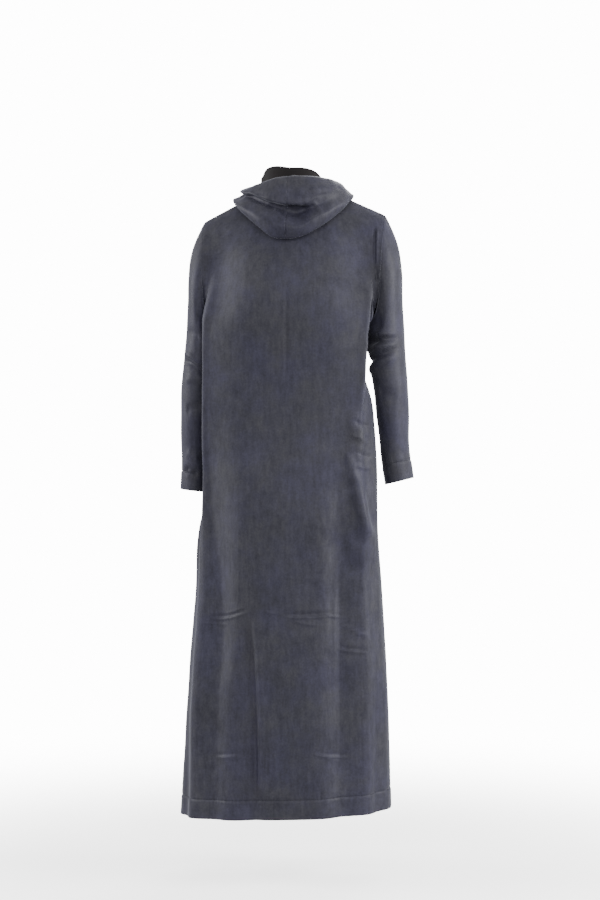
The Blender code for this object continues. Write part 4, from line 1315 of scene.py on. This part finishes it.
def body_tree():
    """A search tree of the panels' fine outer faces."""
    points, cells = [], []
    for grid, turned in ((back_cloth, back_turned), (front_cloth, front_turned)):
        rows = int(np.sum(panel_rows <= UPPER_ROWS + BODY_ROWS_BELOW))
        part = grid[:rows]
        faces, _, _ = cell_list(rows, part.shape[1], False)
        if not turned:
            faces = faces[:, ::-1]
        cells += (faces + len(points)).tolist()
        points += part.reshape(-1, 3).tolist()
    return BVHTree.FromPolygons(points, cells)


def band_piece_at(line):
    """The standing band on the neck's line, open at the middle front."""
    form = neckband(line)
    columns = places_for(form.shape[1] - 1, BAND_COLUMN_STEPS)
    band = finer(form, places_for(BAND_ROWS, BAND_STEPS), columns)
    ends = SLIT_HALF + HALF_SEAM
    band[:, 0, 0] += ends
    band[:, -1, 0] -= ends
    turned = not outward(band)
    down = arc(band, 0)
    push = dip(down) + dip(down[-1:] - down - BAND_LINE_DEPTH, BAND_LINE)
    band = band + normals_of(band, False, turned) * push[..., None]
    out = normals_of(band, False, turned)
    return shell("neckband_cloth", band, out, BAND_THICKNESS, band_shaded_cloth, turned=not turned)


def hood_piece(name, sign, seed):
    """One half of the hood, settled on the shoulders, with its creases."""
    form = hood_half(sign, neck, body)
    rows = places_for(form.shape[0] - 1, HOOD_STEPS)
    columns = places_for(form.shape[1] - 1, HOOD_STEPS)
    grid = finer(form, rows, columns)
    for r in np.nonzero(rows < HOOD_SHOWS)[0]:
        least = HOOD_LIFT * rising(rows[r])
        for c in range(grid.shape[1]):
            place, out, _, _ = body.find_nearest(Vector(grid[r, c]))
            short = least - (Vector(grid[r, c]) - place).dot(out)
            if short > 0:
                grid[r, c] += np.array(out) * short
    turned = sign > 0
    showing = smooth(rows - HOOD_SHOWS)[:, None]
    push = (relief(grid[..., [0, 2]], HOOD_CREASES) + uneven(grid, HOOD_WAVE, seed)) * showing
    push = push + dip(arc(grid, 1), HOOD_SEAM) * showing
    down = arc(grid, 0)
    push = push + dip(down[-1:] - down - LIP_DEPTH, LIP_LINE)
    placed = grid + normals_of(grid, False, turned) * push[..., None]
    out = normals_of(placed, False, turned)
    return shell(name, placed, out, THICKNESS, robe_cloth, turned=not turned)


body = body_tree()
band_piece = band_piece_at(neck)
hood_left_piece = hood_piece("hood_left_cloth", 1, 11)
hood_right_piece = hood_piece("hood_right_cloth", -1, 13)

# What each piece stands for, and the cloth that it was cut from

Cut = namedtuple("Cut", "piece node width length area slot")
CUTS = [
    Cut(back_piece, "back_panel", 0.70, 1.48, 0.86, "robe_cloth"),
    Cut(front_piece, "front_panel", 0.64, 1.46, 0.80, "robe_cloth"),
    Cut(left_sleeve, "sleeve_left", 0.44, 0.62, 0.19, "robe_cloth"),
    Cut(right_sleeve, "sleeve_right", 0.44, 0.62, 0.19, "robe_cloth"),
    Cut(hood_left_piece, "hood_left", 0.30, 0.27, 0.070, "robe_cloth"),
    Cut(hood_right_piece, "hood_right", 0.30, 0.27, 0.070, "robe_cloth"),
    Cut(band_piece, "neckband", 0.43, 0.045, 0.0130, "neckband_cloth"),
]
for cut in CUTS:
    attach(cut.piece, "root")
    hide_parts(cut.node)
for sewing in (left_stitches, right_stitches, hem_stitches):
    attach(sewing, "root")


# Floor, light and camera

def floor():
    """A plain pale floor that fades into the pale surrounding."""
    half = FLOOR_REACH
    corners = [(-half, -half), (half, -half), (half, half), (-half, half)]
    material = bpy.data.materials.new("floor")
    material.use_nodes = True
    tree = material.node_tree
    shader = tree.nodes["Principled BSDF"]
    shader.inputs["Roughness"].default_value = FLOOR_ROUGHNESS
    seen = node(tree, "ShaderNodeLightPath").outputs["Is Camera Ray"]
    tone = node(tree, "ShaderNodeMix", [("Factor", seen)], data_type="RGBA")
    tone.inputs[6].default_value = FLOOR_TONE
    tone.inputs[7].default_value = (1.0, 1.0, 1.0, 1)
    tree.links.new(tone.outputs[2], shader.inputs["Base Color"])
    glow = node(tree, "ShaderNodeMath", [(0, seen)], operation="MULTIPLY")
    glow.inputs[1].default_value = FLOOR_GLOW
    shader.inputs["Emission Color"].default_value = (1, 1, 1, 1)
    tree.links.new(glow.outputs[0], shader.inputs["Emission Strength"])
    place = node(tree, "ShaderNodeTexCoord").outputs["Object"]
    level = node(tree, "ShaderNodeVectorMath", [(0, place)], operation="MULTIPLY")
    level.inputs[1].default_value = (1, 1, 0)
    away = node(tree, "ShaderNodeVectorMath", [(0, level.outputs[0])], operation="LENGTH")
    fade = node(
        tree,
        "ShaderNodeMapRange",
        [("Value", away.outputs["Value"])],
        interpolation_type="SMOOTHERSTEP",
        in_From_Min=FLOOR_REACH * FLOOR_FADE[0],
        in_From_Max=FLOOR_REACH * FLOOR_FADE[1],
        in_To_Min=1.0,
        in_To_Max=0.0,
    )
    tree.links.new(fade.outputs["Result"], shader.inputs["Alpha"])
    made = meshed("floor", [(x, y, FLOOR_Z) for x, y in corners], [(0, 1, 2, 3)], material)


Lamp = namedtuple("Lamp", "name x y z size power")
WORLD_LIGHT = 0.45
WORLD_SEEN = 14.0
LAMPS = [
    Lamp("right", -3.0, 0.15, 0.3, 1.6, 165.0),
    Lamp("left", 3.0, 0.20, 0.3, 1.6, 118.0),
    Lamp("back", -0.6, 3.6, 0.6, 2.0, 108.0),
    Lamp("top", 0.0, 0.2, 3.0, 2.0, 25.0),
    Lamp("rear", -0.6, -3.6, 1.8, 2.6, 160.0),
]


def lamps():
    """Large soft lights aimed at the robe, in a pale surrounding."""
    for lamp in LAMPS:
        data = bpy.data.lights.new(lamp.name, "AREA")
        data.shape = "SQUARE"
        data.size = lamp.size
        data.energy = lamp.power
        made = added(lamp.name, data)
        made.location = (lamp.x, lamp.y, lamp.z)
        aim = Vector(CAMERA_TARGET) - made.location
        made.rotation_euler = aim.to_track_quat("-Z", "Y").to_euler()
    world = bpy.data.worlds.new("studio")
    world.use_nodes = True
    tree = world.node_tree
    tree.nodes.clear()
    lit = node(tree, "ShaderNodeBackground", in_Color=(1, 1, 1, 1), in_Strength=WORLD_LIGHT)
    seen = node(tree, "ShaderNodeBackground", in_Color=(1, 1, 1, 1), in_Strength=WORLD_SEEN)
    path = node(tree, "ShaderNodeLightPath")
    both = tree.nodes.new("ShaderNodeMixShader")
    tree.links.new(path.outputs["Is Camera Ray"], both.inputs[0])
    tree.links.new(lit.outputs[0], both.inputs[1])
    tree.links.new(seen.outputs[0], both.inputs[2])
    put = node(tree, "ShaderNodeOutputWorld")
    tree.links.new(both.outputs[0], put.inputs["Surface"])
    bpy.context.scene.world = world


def camera():
    """The camera at the photograph's place."""
    turn = math.radians(CAMERA_TURN)
    data = bpy.data.cameras.new("camera")
    data.lens = LENS
    data.sensor_width = SENSOR
    data.sensor_fit = "AUTO"
    made = added("camera", data)
    away = Vector((math.sin(turn), -math.cos(turn), 0.0))
    made.location = Vector(CAMERA_TARGET) + away * CAMERA_DISTANCE
    made.rotation_euler = (-away).to_track_quat("-Z", "Y").to_euler()
    bpy.context.scene.camera = made


floor()
lamps()
camera()
